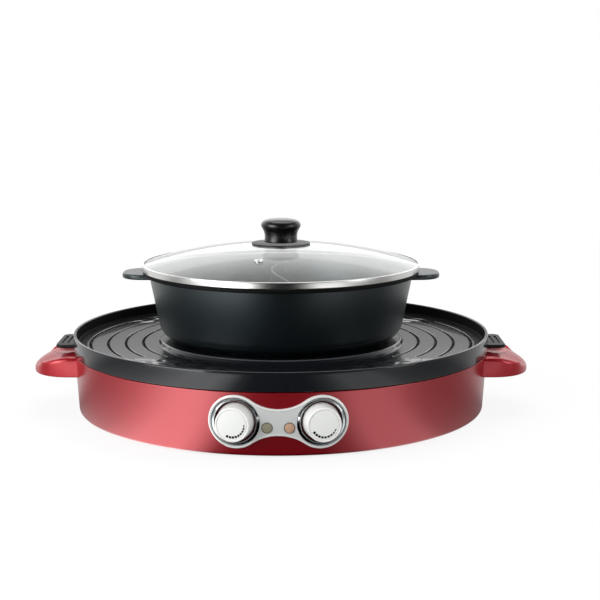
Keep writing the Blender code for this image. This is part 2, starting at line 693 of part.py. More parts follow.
def make_hotplate():
    """Cast disc with its heating rib underneath and two terminal pins."""
    rib_bottom = HOTPLATE_BOTTOM - HOTPLATE_RIB_DEPTH
    half_rib = HOTPLATE_RIB_WIDTH / 2.0
    outline = rounded([
        (0.0, HOTPLATE_TOP - HOTPLATE_DISH_DEPTH),
        (HOTPLATE_DISH_RADIUS - HOTPLATE_DISH_DEPTH, HOTPLATE_TOP - HOTPLATE_DISH_DEPTH),
        (HOTPLATE_DISH_RADIUS, HOTPLATE_TOP),
        (HOTPLATE_RADIUS, HOTPLATE_TOP, HOTPLATE_FILLET),
        (HOTPLATE_RADIUS, HOTPLATE_BOTTOM),
        (HOTPLATE_RIB_RADIUS + half_rib, HOTPLATE_BOTTOM),
        (HOTPLATE_RIB_RADIUS + half_rib / 2.0, rib_bottom),
        (HOTPLATE_RIB_RADIUS - half_rib / 2.0, rib_bottom),
        (HOTPLATE_RIB_RADIUS - half_rib, HOTPLATE_BOTTOM),
        (0.0, HOTPLATE_BOTTOM),
    ], facets=1)
    hotplate = turned("pot_hotplate", outline, "cast_aluminium", HOTPLATE_STEPS)
    for index, (x, y) in enumerate(hotplate_pin_places()):
        pin = disc_cutter("hotplate_pin_%d" % index, HOTPLATE_PIN_RADIUS,
                          rib_bottom - HOTPLATE_PIN_LENGTH, rib_bottom + HOTPLATE_RIB_DEPTH / 2.0,
                          Matrix.Translation((x, y, 0.0)), SMALL_STEPS)
        combine(hotplate, pin, "UNION")
    return hotplate


def make_hotplate_collar():
    """Pressed collar that stands on the pan and carries the hotplate."""
    bottom = PAN_FLOOR_TOP + FIT_GAP
    top = HOTPLATE_BOTTOM - FIT_GAP
    outline = [
        (COLLAR_RADIUS - COLLAR_THICKNESS, top),
        (COLLAR_RADIUS, top),
        (COLLAR_RADIUS, bottom + COLLAR_THICKNESS),
        (COLLAR_RADIUS + COLLAR_FLANGE, bottom + COLLAR_THICKNESS),
        (COLLAR_RADIUS + COLLAR_FLANGE, bottom),
        (COLLAR_RADIUS - COLLAR_THICKNESS, bottom),
    ]
    return turned("hotplate_collar", outline, "sheet_steel", HOTPLATE_STEPS)


def make_thermostat(label, side):
    """Thermostat block behind the panel, with a bush that guides the knob's shaft."""
    frame = knob_frame(side)
    body_front = BEZEL_FLOOR_FRONT - BEZEL_FLOOR_THICKNESS - FIT_GAP
    body_back = body_front - THERMOSTAT_DEPTH
    bush_front = BEZEL_FLOOR_FRONT - FIT_GAP
    plan = rounded_rectangle(THERMOSTAT_WIDTH, THERMOSTAT_HEIGHT, INLET_CORNER)
    body = extruded(label + "_thermostat", plan, body_back, body_front, "thermoset", frame)
    bush = disc_cutter(label + "_bush", BUSH_RADIUS, body_front - OVERCUT, bush_front, frame)
    combine(body, bush, "UNION")
    bore = disc_cutter(label + "_bush_bore", SHAFT_RADIUS + FIT_GAP,
                       body_front - THERMOSTAT_BORE_DEPTH, bush_front + OVERCUT, frame)
    return combine(body, bore)


def shaft_outline(radius):
    """Round shaft with one flat, so that the knob can't slip on it."""
    flat = radius * (1.0 - SHAFT_FLAT_SHARE)
    half_flat_angle = math.acos(flat / radius)
    outline = []
    steps = 14
    for step in range(steps + 1):
        angle = math.pi / 2.0 + half_flat_angle
        angle += (math.tau - 2.0 * half_flat_angle) * step / steps
        outline.append((radius * math.cos(angle), radius * math.sin(angle)))
    return outline


def make_control_knob(label, side):
    """Tapered knob with its inlaid face disc, turning with a flatted shaft."""
    frame = knob_frame(side)
    axis = make_axis(label + "_knob_axis", frame)
    back = BEZEL_FLOOR_FRONT + KNOB_RUNNING_GAP
    inlay_floor = KNOB_FACE_DEPTH - KNOB_INLAY_DEPTH
    outline = rounded([
        (0.0, inlay_floor),
        (KNOB_INLAY_RADIUS, inlay_floor),
        (KNOB_INLAY_RADIUS, KNOB_FACE_DEPTH),
        (KNOB_FACE_RADIUS, KNOB_FACE_DEPTH, KNOB_EDGE_FILLET),
        (KNOB_SKIRT_RADIUS, back),
        (0.0, back),
    ])
    knob = turned(label + "_knob", outline, "white_plastic", MEDIUM_STEPS, frame, axis)
    socket = extruded(label + "_knob_socket", shaft_outline(SHAFT_RADIUS + SHAFT_CLEARANCE),
                      back - OVERCUT, back + KNOB_SOCKET_DEPTH, frame=frame)
    combine(knob, socket)
    shaft_back = BEZEL_FLOOR_FRONT - BEZEL_FLOOR_THICKNESS - THERMOSTAT_BORE_DEPTH + OVERCUT
    extruded(label + "_shaft", shaft_outline(SHAFT_RADIUS), shaft_back,
             back + KNOB_SOCKET_DEPTH - FIT_GAP, "sheet_steel", frame, axis)
    inlay = [(0.0, KNOB_FACE_DEPTH - FIT_GAP / 2.0),
             (KNOB_INLAY_RADIUS - FIT_GAP, KNOB_FACE_DEPTH - FIT_GAP / 2.0),
             (KNOB_INLAY_RADIUS - FIT_GAP, inlay_floor + FIT_GAP / 2.0),
             (0.0, inlay_floor + FIT_GAP / 2.0)]
    turned(label + "_knob_disc", inlay, "silver_plastic", MEDIUM_STEPS, frame, axis)


def make_bezel(label, side):
    """Dark bright-edged cup that the knob sits in; its face slopes in behind the panel's front."""
    frame = knob_frame(side)
    front = PANEL_FRONT_DEPTH - BEZEL_RECESS
    floor_back = BEZEL_FLOOR_FRONT - BEZEL_FLOOR_THICKNESS
    edge = (BEZEL_RADIUS - BEZEL_BORE) / 8.0
    outline = rounded([
        (BEZEL_BORE, front - BEZEL_SLOPE, edge),
        (BEZEL_RADIUS, front, edge),
        (BEZEL_RADIUS, floor_back),
        (BUSH_RADIUS + FIT_GAP, floor_back),
        (BUSH_RADIUS + FIT_GAP, BEZEL_FLOOR_FRONT),
        (BEZEL_BORE, BEZEL_FLOOR_FRONT),
    ], facets=1)
    return turned(label + "_bezel", outline, "dark_chrome", MEDIUM_STEPS, frame)


def panel_half_height(along):
    """Half the panel's height: round lobes joined by a waist of two hollow arcs."""
    along = abs(along)
    lobe = PANEL_LOBE_RADIUS
    spread = CONTROL_HALF_SPREAD
    waist = PANEL_WAIST_HALF_HEIGHT
    hollow = (spread ** 2 + waist ** 2 - lobe ** 2) / (2.0 * (lobe - waist))
    joint = spread * hollow / (hollow + lobe)
    if along < joint:
        return waist + hollow - math.sqrt(hollow ** 2 - along ** 2)
    return math.sqrt(max(0.0, lobe ** 2 - (along - spread) ** 2))


def panel_stations():
    """Places along the panel, closer together towards its round ends."""
    end = CONTROL_HALF_SPREAD + PANEL_LOBE_RADIUS
    stations = []
    for step in range(PANEL_STATIONS):
        share = step / (PANEL_STATIONS - 1.0)
        stations.append(-end * math.cos(math.pi * (0.04 + 0.92 * share)))
    return stations


def on_housing(along, height, depth):
    """Point of the leaning round wall: distance along it, height, and depth out of it."""
    angle = math.radians(FRONT_AZIMUTH_DEG) + along / CONTROL_WALL_RADIUS
    radius = wall_radius(height) + depth
    return (radius * math.cos(angle), radius * math.sin(angle), height)


def make_control_panel():
    """Dog-bone panel, built of upright strips so that it follows the round wall."""
    sections = []
    chamfer = PANEL_THICKNESS / 4.0
    for along in panel_stations():
        half = panel_half_height(along)
        low, high = CONTROL_HEIGHT - half, CONTROL_HEIGHT + half
        front = PANEL_FRONT_DEPTH
        sections.append([
            on_housing(along, low, FIT_GAP),
            on_housing(along, low, front - chamfer),
            on_housing(along, low + chamfer, front),
            on_housing(along, high - chamfer, front),
            on_housing(along, high, front - chamfer),
            on_housing(along, high, FIT_GAP),
        ])
    panel = lofted("control_panel", sections, "silver_plastic")
    for label, side in SIDES:
        combine(panel, disc_cutter(label + "_panel_hole", BEZEL_RADIUS + FIT_GAP, -OVERCUT,
                                   PANEL_FRONT_DEPTH + OVERCUT, knob_frame(side), MEDIUM_STEPS))
        combine(panel, disc_cutter(label + "_panel_lens_hole", LENS_RADIUS + FIT_GAP, -OVERCUT,
                                   PANEL_FRONT_DEPTH + OVERCUT, lens_frame(side)))
    return panel


def make_indicator(label, side, lens_finish):
    """Coloured lens in the panel and the small lamp behind it."""
    frame = lens_frame(side)
    front = PANEL_FRONT_DEPTH + LENS_DOME
    back = front - LENS_LENGTH
    outline = [(0.0, front), (LENS_RADIUS / 2.0, front - LENS_DOME / 4.0),
               (LENS_RADIUS, front - LENS_DOME), (LENS_RADIUS, back), (0.0, back)]
    turned(label + "_lens", outline, lens_finish, SMALL_STEPS, frame)
    lamp_front = back - FIT_GAP
    tip = LAMP_RADIUS / 2.0
    outline = rounded([(0.0, lamp_front), (LAMP_RADIUS, lamp_front, tip),
                       (LAMP_RADIUS, lamp_front - LAMP_LENGTH), (0.0, lamp_front - LAMP_LENGTH)])
    turned(label + "_lamp", outline, "clear_glass", SMALL_STEPS, frame)


def handle_half_width(out, inset=0.0):
    """Half width of a handle at a distance from the wall: a fuller half oval in plan."""
    share = min(out / (HANDLE_REACH - inset), 1.0)
    shrink = (1.0 - share ** HANDLE_PLAN_POWER) ** (1.0 / HANDLE_PLAN_POWER)
    return (HANDLE_HALF_WIDTH - inset) * shrink


def handle_top(out):
    """Top of a handle along its middle: it falls in a curve from the wall to the nose."""
    share = min(max(out, 0.0) / HANDLE_REACH, 1.0)
    nose = HANDLE_BOTTOM + HANDLE_NOSE_ROUND
    return nose + (HANDLE_ROOT_TOP - nose) * (1.0 - share ** 1.4) ** 0.6


def handle_low(out):
    """Underside of a handle: level, then rounding up over the last millimetres of its nose."""
    into_nose = max(0.0, out - HANDLE_REACH + HANDLE_NOSE_ROUND)
    return HANDLE_BOTTOM + HANDLE_NOSE_ROUND - math.sqrt(HANDLE_NOSE_ROUND ** 2 - into_nose ** 2)


def handle_section(out):
    """Closed (y, z) outline: a crowned finger pad between two rims that fade towards the nose."""
    half_width = handle_half_width(max(out, 0.0))
    low, top = handle_low(out), handle_top(out)
    drop = HANDLE_PAD_DROP * min(1.0, (top - low) / (HANDLE_ROOT_TOP - HANDLE_BOTTOM) * 3.0)
    fade = min(1.0, max(0.0, (HANDLE_RIM_END - out) / HANDLE_RIM_FADE))
    rim = top - drop * (1.0 - fade)
    fillet = min(HANDLE_FILLET, 0.12 * half_width, 0.45 * (rim - low))
    crown = []
    for share in (1.0, 0.7, 0.35, 0.0, -0.35, -0.7, -1.0):
        crown.append((share * HANDLE_PAD_SHARE * half_width, top - drop * share ** 2))
    return rounded([(-half_width, low), (half_width, low), (half_width, rim, fillet),
                    (HANDLE_RIM_SHARE * half_width, rim)] + crown
                   + [(-HANDLE_RIM_SHARE * half_width, rim), (-half_width, rim, fillet)])


def handle_stations(reach, first):
    """Distances from the wall, closer together towards the nose."""
    stations = [first]
    for step in range(1, HANDLE_STATIONS + 1):
        stations.append(reach * math.sin(math.pi / 2.0 * 0.95 * step / HANDLE_STATIONS))
    return stations


def handle_root_sink():
    """How far a handle's flat root has to reach into the round wall to meet it at its sides."""
    sagitta = CONTROL_WALL_RADIUS - math.sqrt(CONTROL_WALL_RADIUS ** 2 - HANDLE_HALF_WIDTH ** 2)
    return sagitta + HANDLE_ROOT_SPARE


def make_handle(label, side):
    """Hollow grip: straight-sided, falling to a round nose, with a finger pad and scoop on top."""
    turn = Matrix.Identity(4) if side > 0 else Matrix.Rotation(math.pi, 4, "Z")
    sections = []
    for out in handle_stations(HANDLE_REACH, -handle_root_sink()):
        sections.append([(CONTROL_WALL_RADIUS + out, y, z) for y, z in handle_section(out)])
    handle = lofted(label + "_handle", sections, "red_handle", turn)
    pocket = []
    for out in handle_stations(HANDLE_REACH - HANDLE_WALL, HANDLE_WALL):
        if out < HANDLE_WALL:
            continue
        half_width = handle_half_width(out, HANDLE_WALL)
        ceiling = HANDLE_BOTTOM + HANDLE_POCKET_HEIGHT_SHARE * (handle_top(out) - HANDLE_BOTTOM)
        pocket.append([(CONTROL_WALL_RADIUS + out, -half_width, HANDLE_BOTTOM - OVERCUT),
                       (CONTROL_WALL_RADIUS + out, half_width, HANDLE_BOTTOM - OVERCUT),
                       (CONTROL_WALL_RADIUS + out, half_width, ceiling),
                       (CONTROL_WALL_RADIUS + out, -half_width, ceiling)])
    combine(handle, lofted(label + "_handle_pocket", pocket, frame=turn))
    builder = bmesh.new()
    bmesh.ops.create_uvsphere(builder, u_segments=SMALL_STEPS, v_segments=SMALL_STEPS // 2,
                              radius=1.0)
    bmesh.ops.scale(builder, verts=builder.verts,
                    vec=(SCOOP_HALF_LENGTH, SCOOP_HALF_WIDTH, SCOOP_HALF_DEPTH))
    bmesh.ops.translate(builder, verts=builder.verts,
                        vec=(CONTROL_WALL_RADIUS + SCOOP_FROM_WALL, 0.0, SCOOP_CENTRE_Z))
    combine(handle, make_object(label + "_handle_scoop", builder, frame=turn))
    base_top = HOUSING_TOP + HANDLE_WALL
    body = turned(label + "_wall_clearance", [
        (0.0, base_top), (wall_radius(base_top) + FIT_GAP, base_top),
        (wall_radius(0.0) + FIT_GAP, 0.0), (0.0, 0.0)])
    return combine(handle, body)


def make_power_inlet():
    """Recessed appliance inlet at the back, with three flat pins."""
    frame = inlet_frame()
    flange_back = FIT_GAP
    sagitta = wall_radius(CONTROL_HEIGHT) * (1.0 - math.cos(INLET_WIDTH / CONTROL_WALL_RADIUS))
    front = flange_back + INLET_FLANGE_THICKNESS
    flange = rounded_rectangle(INLET_WIDTH + 2.0 * INLET_FLANGE,
                               INLET_HEIGHT + 2.0 * INLET_FLANGE, INLET_CORNER)
    inlet = extruded("power_inlet", flange, flange_back, front, "black_plastic", frame)
    box = rounded_rectangle(INLET_WIDTH, INLET_HEIGHT, INLET_CORNER)
    body_back = front - INLET_DEPTH
    combine(inlet, extruded("inlet_body", box, body_back, flange_back + sagitta / 2.0,
                            frame=frame), "UNION")
    well = rounded_rectangle(INLET_WIDTH - 2.0 * INLET_WALL, INLET_HEIGHT - 2.0 * INLET_WALL,
                             INLET_CORNER / 2.0)
    well_floor = front - INLET_SOCKET_DEPTH
    combine(inlet, extruded("inlet_well", well, well_floor, front + OVERCUT, frame=frame))
    pin_width, pin_thickness = INLET_PIN_SIZE
    pin_rise = pin_width / 2.0
    for index, (x, y) in enumerate(((-INLET_PIN_SPREAD, -pin_rise), (INLET_PIN_SPREAD, -pin_rise),
                                    (0.0, pin_rise))):
        pin = rounded_rectangle(pin_thickness, pin_width, pin_thickness / 4.0, (x, y))
        combine(inlet, extruded("inlet_pin_%d" % index, pin, well_floor - INLET_WALL / 2.0,
                                well_floor + INLET_PIN_LENGTH, frame=frame), "UNION")
    return inlet


def make_block(name, size, centre, finish_name, bevel):
    """Plain moulded block with softened edges."""
    builder = bmesh.new()
    bmesh.ops.create_cube(builder, size=1.0)
    bmesh.ops.scale(builder, verts=builder.verts, vec=size)
    block = make_object(name, builder, finish_name, Matrix.Translation(centre))
    edge = block.modifiers.new("edges", "BEVEL")
    edge.width = bevel
    edge.segments = 2
    return block


def make_electrics():
    """Thermal cut-out under the pan and the terminal block on the cover."""
    pan_bottom = PAN_FLOOR_TOP - PAN_THICKNESS
    length, width, height = CUTOUT_SIZE
    centre = (CUTOUT_PLACE[0], CUTOUT_PLACE[1], pan_bottom - FIT_GAP - height / 2.0)
    make_block("thermal_cutout", CUTOUT_SIZE, centre, "thermoset", height / 8.0)
    height = TERMINAL_SIZE[2]
    centre = (0.0, TERMINAL_Y, COVER_TOP + FIT_GAP + height / 2.0)
    make_block("terminal_block", TERMINAL_SIZE, centre, "white_plastic", height / 16.0)


def groove_cutter(name, radius, start_deg, end_deg):
    """Tapered groove along an arc of the plate's surface."""
    above = PLATE_SURFACE + OVERCUT
    floor = PLATE_SURFACE - GROOVE_DEPTH
    lean = (GROOVE_WIDTH - GROOVE_BOTTOM_WIDTH) / GROOVE_DEPTH / 2.0
    half_top = GROOVE_WIDTH / 2.0 + lean * OVERCUT
    half_bottom = GROOVE_BOTTOM_WIDTH / 2.0
    sections = []
    for step in range(GROOVE_STEPS + 1):
        angle = math.radians(start_deg + (end_deg - start_deg) * step / GROOVE_STEPS)
        direction = Vector((math.cos(angle), math.sin(angle), 0.0))
        section = []
        for offset, height in ((-half_bottom, floor), (half_bottom, floor),
                               (half_top, above), (-half_top, above)):
            section.append(direction * (radius + offset) + Vector((0.0, 0.0, height)))
        sections.append(section)
    return lofted(name, sections)


def plate_ear(name, turn):
    """Flat lifting tab cast on the rim, rounded at its outer corners."""
    root = PLATE_RIM_RADIUS - PLATE_WALL / 2.0
    outer = PLATE_SKIRT_RADIUS + PLATE_EAR_REACH
    half = PLATE_EAR_HALF_WIDTH
    root_angle = math.asin(half / root)
    corners = [(outer, -half, PLATE_EAR_CORNER), (outer, half, PLATE_EAR_CORNER)]
    root_steps = 8
    for step in range(root_steps + 1):
        angle = root_angle * (1.0 - 2.0 * step / root_steps)
        corners.append((root * math.cos(angle), root * math.sin(angle)))
    outline = rounded(corners)
    return extruded(name, outline, PLATE_EAR_TOP - PLATE_EAR_THICKNESS, PLATE_EAR_TOP, frame=turn)


def make_grill_plate(lift):
    """Cast plate: rim wall, grooved cooking floor, pot ring, lifting ears and seat ring."""
    underside = PLATE_SURFACE - PLATE_FLOOR
    ring_top = PLATE_SURFACE + RING_RISE
    channel = ring_top - RING_CHANNEL_DEPTH
    ring_underside = underside + PLATE_FLOOR - RING_CHANNEL_DEPTH
    lip = PLATE_HOLE_RADIUS + RING_LIP_WIDTH
    edge = RING_RADIUS - RING_EDGE_WIDTH
    inner_rim = PLATE_RIM_RADIUS - PLATE_WALL
    seat_bottom = PAN_LIP_TOP + FIT_GAP
    step = RING_CHANNEL_DEPTH
    corner = PLATE_WALL_FILLET * (1.0 - math.sqrt(0.5))
    outline = rounded([
        (PLATE_RIM_RADIUS, PLATE_RIM_TOP, PLATE_EDGE_FILLET),
        (PLATE_SKIRT_RADIUS, PLATE_SKIRT_BOTTOM),
        (inner_rim, PLATE_SKIRT_BOTTOM),
        (inner_rim, underside),
        (SEAT_RING_RADIUS, underside),
        (SEAT_RING_RADIUS, seat_bottom),
        (SEAT_RING_RADIUS - SEAT_RING_WIDTH, seat_bottom),
        (SEAT_RING_RADIUS - SEAT_RING_WIDTH, underside),
        (RING_RADIUS, underside),
        (edge - PLATE_FLOOR / 2.0, ring_underside),
        (PLATE_HOLE_RADIUS, ring_underside),
        (PLATE_HOLE_RADIUS, ring_top),
        (lip, ring_top),
        (lip + step, channel),
        (edge - step, channel),
        (edge, ring_top),
        (RING_RADIUS, ring_top),
        (RING_RADIUS + RING_SLOPE_RUN, PLATE_SURFACE),
        (inner_rim - PLATE_WALL_FILLET, PLATE_SURFACE),
        (inner_rim - corner, PLATE_SURFACE + corner),
        (inner_rim, PLATE_SURFACE + PLATE_WALL_FILLET),
        (inner_rim, PLATE_RIM_TOP, PLATE_EDGE_FILLET),
    ], facets=1)
    plate = turned("grill_plate", outline, "black_coating", parent=lift)
    for index in range(GROOVE_COUNT):
        radius = GROOVE_INNER_RADIUS + index * GROOVE_PITCH
        front = math.degrees(math.asin(GROOVE_FRONT_Y / radius))
        back = math.degrees(math.asin(GROOVE_BACK_Y / radius))
        combine(plate, groove_cutter("right_groove_%d" % index, radius, front, back))
        combine(plate, groove_cutter("left_groove_%d" % index, radius, 180.0 - back,
                                     180.0 - front))
    for label, side in SIDES:
        turn = Matrix.Identity(4) if side > 0 else Matrix.Rotation(math.pi, 4, "Z")
        combine(plate, plate_ear(label + "_plate_ear", turn), "UNION")
        for index in range(2):
            centre = PLATE_SKIRT_RADIUS + EAR_SLOT_FIRST + index * EAR_SLOT_PITCH
            slot = rounded_rectangle(EAR_SLOT_WIDTH, 2.0 * EAR_SLOT_HALF_LENGTH,
                                     EAR_SLOT_WIDTH / 3.0, (centre, 0.0))
            combine(plate, extruded("%s_ear_slot_%d" % (label, index), slot,
                                    PLATE_EAR_TOP - EAR_SLOT_DEPTH, PLATE_EAR_TOP + OVERCUT,
                                    frame=turn))
    return plate


def divider_centre(along):
    """Sideways swing of the divider's S at a distance along the pot's middle."""
    return -DIVIDER_SWING * math.sin(math.tau * along / DIVIDER_WAVE)


def make_hot_pot(lift):
    """Cast pot with leaning wall, rolled flange, two ears and an S-shaped dividing wall."""
    flange_bottom = POT_FLANGE_TOP - POT_FLANGE_THICKNESS
    inner_mouth = POT_MOUTH_RADIUS - POT_WALL + POT_WALL_LEAN * POT_FLANGE_THICKNESS
    floor_top = POT_BOTTOM + POT_FLOOR
    inner_foot = pot_wall_radius(floor_top) - POT_WALL
    outline = rounded([
        (0.0, floor_top),
        (inner_foot, floor_top, POT_CORNER - POT_WALL),
        (inner_mouth, POT_FLANGE_TOP),
        (POT_FLANGE_RADIUS - POT_FLANGE_FILLET, POT_FLANGE_TOP),
        (POT_FLANGE_RADIUS, POT_FLANGE_TOP - POT_FLANGE_FILLET),
        (POT_FLANGE_RADIUS, flange_bottom),
        (POT_MOUTH_RADIUS, flange_bottom),
        (pot_wall_radius(POT_BOTTOM), POT_BOTTOM, POT_CORNER),
        (0.0, POT_BOTTOM),
    ])
    pot = turned("hot_pot", outline, "black_coating", parent=lift)
    for label, side in SIDES:
        turn = Matrix.Identity(4) if side > 0 else Matrix.Rotation(math.pi, 4, "Z")
        combine(pot, pot_ear(label + "_pot_ear", turn), "UNION")
    combine(pot, pot_divider(), "UNION")
    return pot


def pot_ear(name, turn):
    """Rounded lifting tab of the pot."""
    root = pot_wall_radius(POT_EAR_TOP - POT_EAR_THICKNESS) - POT_WALL / 2.0
    half = POT_EAR_HALF_WIDTH
    corner = POT_EAR_ROUND_SHARE * (POT_EAR_RADIUS - POT_FLANGE_RADIUS)
    root_angle = math.asin(half / root)
    corners = [(POT_EAR_RADIUS, -half, corner), (POT_EAR_RADIUS, half, corner)]
    root_steps = 6
    for step in range(root_steps + 1):
        angle = root_angle * (1.0 - 2.0 * step / root_steps)
        corners.append((root * math.cos(angle), root * math.sin(angle)))
    outline = rounded(corners, facets=5)
    return extruded(name, outline, POT_EAR_TOP - POT_EAR_THICKNESS, POT_EAR_TOP, frame=turn)


def pot_divider():
    """Upright wall whose plan is a gentle S, sunk into the pot's floor and side wall."""
    bottom = POT_BOTTOM + POT_FLOOR / 2.0
    sections = []
    for step in range(DIVIDER_STEPS + 1):
        share = 2.0 * step / DIVIDER_STEPS - 1.0
        section = []
        for height in (bottom, DIVIDER_TOP):
            reach = pot_wall_radius(height) - POT_WALL / 2.0
            along = reach * share
            centre = divider_centre(along)
            slope = (divider_centre(along + DIVIDER_WALL) - centre) / DIVIDER_WALL
            normal = Vector((1.0, -slope)).normalized() * DIVIDER_WALL / 2.0
            pair = [(centre - normal.x, along - normal.y, height),
                    (centre + normal.x, along + normal.y, height)]
            section += pair if height == bottom else pair[::-1]
        sections.append(section)
    return lofted("pot_divider_wall", sections)


def make_lid_glass(lift):
    """Domed tempered glass with a centre bore and a vent hole."""
    edge = LID_RADIUS - LID_BAND_THICKNESS - FIT_GAP
    radii = [edge + (GLASS_BORE_RADIUS - edge) * step / GLASS_RINGS
             for step in range(GLASS_RINGS + 1)]
    outer = [(radius, glass_height(radius)) for radius in radii]
    inner = [(radius, glass_height(radius, GLASS_THICKNESS)) for radius in radii]
    glass = turned("lid_glass", outer[::-1] + inner, "clear_glass", parent=lift)
    combine(glass, disc_cutter("vent_hole", VENT_HOLE_RADIUS, -GLASS_THICKNESS - OVERCUT,
                               OVERCUT, vent_frame()))
    return glass


def vent_frame():
    """Frame of the steam vent, square to the glass."""
    azimuth = math.radians(VENT_AZIMUTH_DEG)
    flat = Vector((math.cos(azimuth), math.sin(azimuth), 0.0))
    place = flat * VENT_RADIUS_FROM_AXIS
    place.z = glass_height(VENT_RADIUS_FROM_AXIS)
    upward = flat * VENT_RADIUS_FROM_AXIS / GLASS_SPHERE_RADIUS
    upward.z = math.sqrt(1.0 - upward.length_squared)
    return Matrix.Translation(place) @ upward.to_track_quat("Z", "Y").to_matrix().to_4x4()


def make_lid_band(lift):
    """Steel band folded round the edge of the glass; its foot rests on the pot's flange."""
    edge = LID_RADIUS - LID_BAND_THICKNESS
    bottom = POT_FLANGE_TOP + FIT_GAP
    lip_in = LID_RADIUS - LID_BAND_LIP
    lip_bottom_in = glass_height(lip_in) + FIT_GAP
    lip_bottom_out = glass_height(edge) + FIT_GAP
    under_glass = glass_height(edge, GLASS_THICKNESS) - FIT_GAP
    under_glass_in = glass_height(lip_in, GLASS_THICKNESS) - FIT_GAP
    outline = rounded([
        (lip_in, lip_bottom_in + LID_BAND_THICKNESS),
        (LID_RADIUS, lip_bottom_out + LID_BAND_THICKNESS),
        (LID_RADIUS, bottom, LID_BAND_BOTTOM_FILLET),
        (lip_in, bottom),
        (lip_in, under_glass_in),
        (edge, under_glass),
        (edge, lip_bottom_out),
        (lip_in, lip_bottom_in),
    ], facets=1)
    return turned("lid_band", outline, "polished_steel", parent=lift)


def make_lid_fittings(lift):
    """Knob with its disc, screw and washer, and the eyelet of the steam vent."""
    disc_low = glass_height(KNOB_DISC_RADIUS) + KNOB_DISC_DROP
    disc_top = KNOB_DISC_BOTTOM + KNOB_DISC_THICKNESS
    outline = rounded([
        (GLASS_BORE_RADIUS, disc_top),
        (LID_KNOB_FOOT_RADIUS + KNOB_DISC_THICKNESS, disc_top),
        (KNOB_DISC_RADIUS, disc_low + KNOB_DISC_THICKNESS),
        (KNOB_DISC_RADIUS, disc_low),
        (LID_KNOB_FOOT_RADIUS, KNOB_DISC_BOTTOM),
        (GLASS_BORE_RADIUS, KNOB_DISC_BOTTOM),
    ])
    turned("lid_knob_disc", outline, "polished_steel", MEDIUM_STEPS, parent=lift)
    foot = disc_top + FIT_GAP
    top = foot + LID_KNOB_HEIGHT
    head = LID_KNOB_HEAD_RADIUS
    bore_top = foot + LID_SCREW_REACH
    outline = rounded([
        (0.0, top),
        (0.55 * head, top - 0.03 * LID_KNOB_HEIGHT),
        (0.85 * head, top - 0.11 * LID_KNOB_HEIGHT),
        (0.97 * head, top - 0.19 * LID_KNOB_HEIGHT),
        (head, top - 0.28 * LID_KNOB_HEIGHT),
        (0.97 * head, top - 0.36 * LID_KNOB_HEIGHT),
        (0.86 * head, top - 0.55 * LID_KNOB_HEIGHT),
        (LID_KNOB_NECK_RADIUS, foot + 0.20 * LID_KNOB_HEIGHT),
        (LID_KNOB_FOOT_RADIUS, foot),
        (LID_KNOB_BORE, foot),
        (LID_KNOB_BORE, bore_top),
        (0.0, bore_top),
    ])
    turned("lid_knob", outline, "black_plastic", MEDIUM_STEPS, parent=lift)
    washer_top = glass_height(LID_WASHER_RADIUS, GLASS_THICKNESS) - FIT_GAP
    washer_bottom = washer_top - LID_WASHER_THICKNESS
    outline = [(GLASS_BORE_RADIUS, washer_top), (LID_WASHER_RADIUS, washer_top),
               (LID_WASHER_RADIUS, washer_bottom), (GLASS_BORE_RADIUS, washer_bottom)]
    turned("lid_washer", outline, "silicone", SMALL_STEPS, parent=lift)
    head_top = washer_bottom - FIT_GAP
    head_bottom = head_top - LID_SCREW_HEAD_HEIGHT
    outline = rounded([
        (0.0, bore_top - FIT_GAP),
        (LID_SCREW_RADIUS, bore_top - FIT_GAP),
        (LID_SCREW_RADIUS, head_top),
        (LID_SCREW_HEAD_RADIUS, head_top),
        (LID_SCREW_HEAD_RADIUS, head_bottom, LID_SCREW_HEAD_HEIGHT / 2.0),
        (0.0, head_bottom),
    ], facets=1)
    turned("lid_screw", outline, "polished_steel", SMALL_STEPS, parent=lift)
    collar = VENT_HOLE_RADIUS - FIT_GAP
    outline = rounded([
        (VENT_EYELET_BORE, FIT_GAP + LID_BAND_THICKNESS),
        (VENT_EYELET_RADIUS, FIT_GAP + LID_BAND_THICKNESS),
        (VENT_EYELET_RADIUS, FIT_GAP),
        (collar, FIT_GAP),
        (collar, -GLASS_THICKNESS - LID_BAND_THICKNESS),
        (VENT_EYELET_BORE, -GLASS_THICKNESS - LID_BAND_THICKNESS),
    ])
    turned("vent_eyelet", outline, "polished_steel", SMALL_STEPS, vent_frame(), lift)


def build():
    remove_everything()
    make_housing()
    make_bottom_cover()
    make_feet()
    make_reflector_pan()
    make_grill_heater()
    make_heater_clips()
    make_hotplate()
    make_hotplate_collar()
    make_control_panel()
    for label, side in SIDES:
        make_bezel(label, side)
        make_thermostat(label, side)
        make_control_knob(label, side)
        make_handle(label, side)
    make_indicator("left", -1, "olive_lens")
    make_indicator("right", 1, "amber_lens")
    make_power_inlet()
    make_electrics()
    plate_lift = make_axis("plate_lift", Matrix.Translation((0.0, 0.0, PLATE_SKIRT_BOTTOM)))
    make_grill_plate(plate_lift)
    pot_lift = make_axis("pot_lift", Matrix.Translation((0.0, 0.0, POT_BOTTOM)), plate_lift)
    make_hot_pot(pot_lift)
    lid_lift = make_axis("lid_lift", Matrix.Translation((0.0, 0.0, POT_FLANGE_TOP)), pot_lift)
    make_lid_glass(lid_lift)
    make_lid_band(lid_lift)
    make_lid_fittings(lid_lift)


build()
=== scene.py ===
# %% [markdown]
# # A table grill with a divided hot pot
# A round red base with two dials carries a black grooved plate. In its middle stands a deep black
# pot, which an S-shaped wall divides, under a domed glass lid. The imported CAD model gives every
# size; this script dresses it. Each new piece is a surface worked out as whole numpy arrays, so
# one formula holds for all of its points, and it rides on the CAD body that it belongs to.

# %% Start: load the frame and keep its box
import math

import bmesh
import bpy
import numpy as np
from mathutils import Matrix, Vector


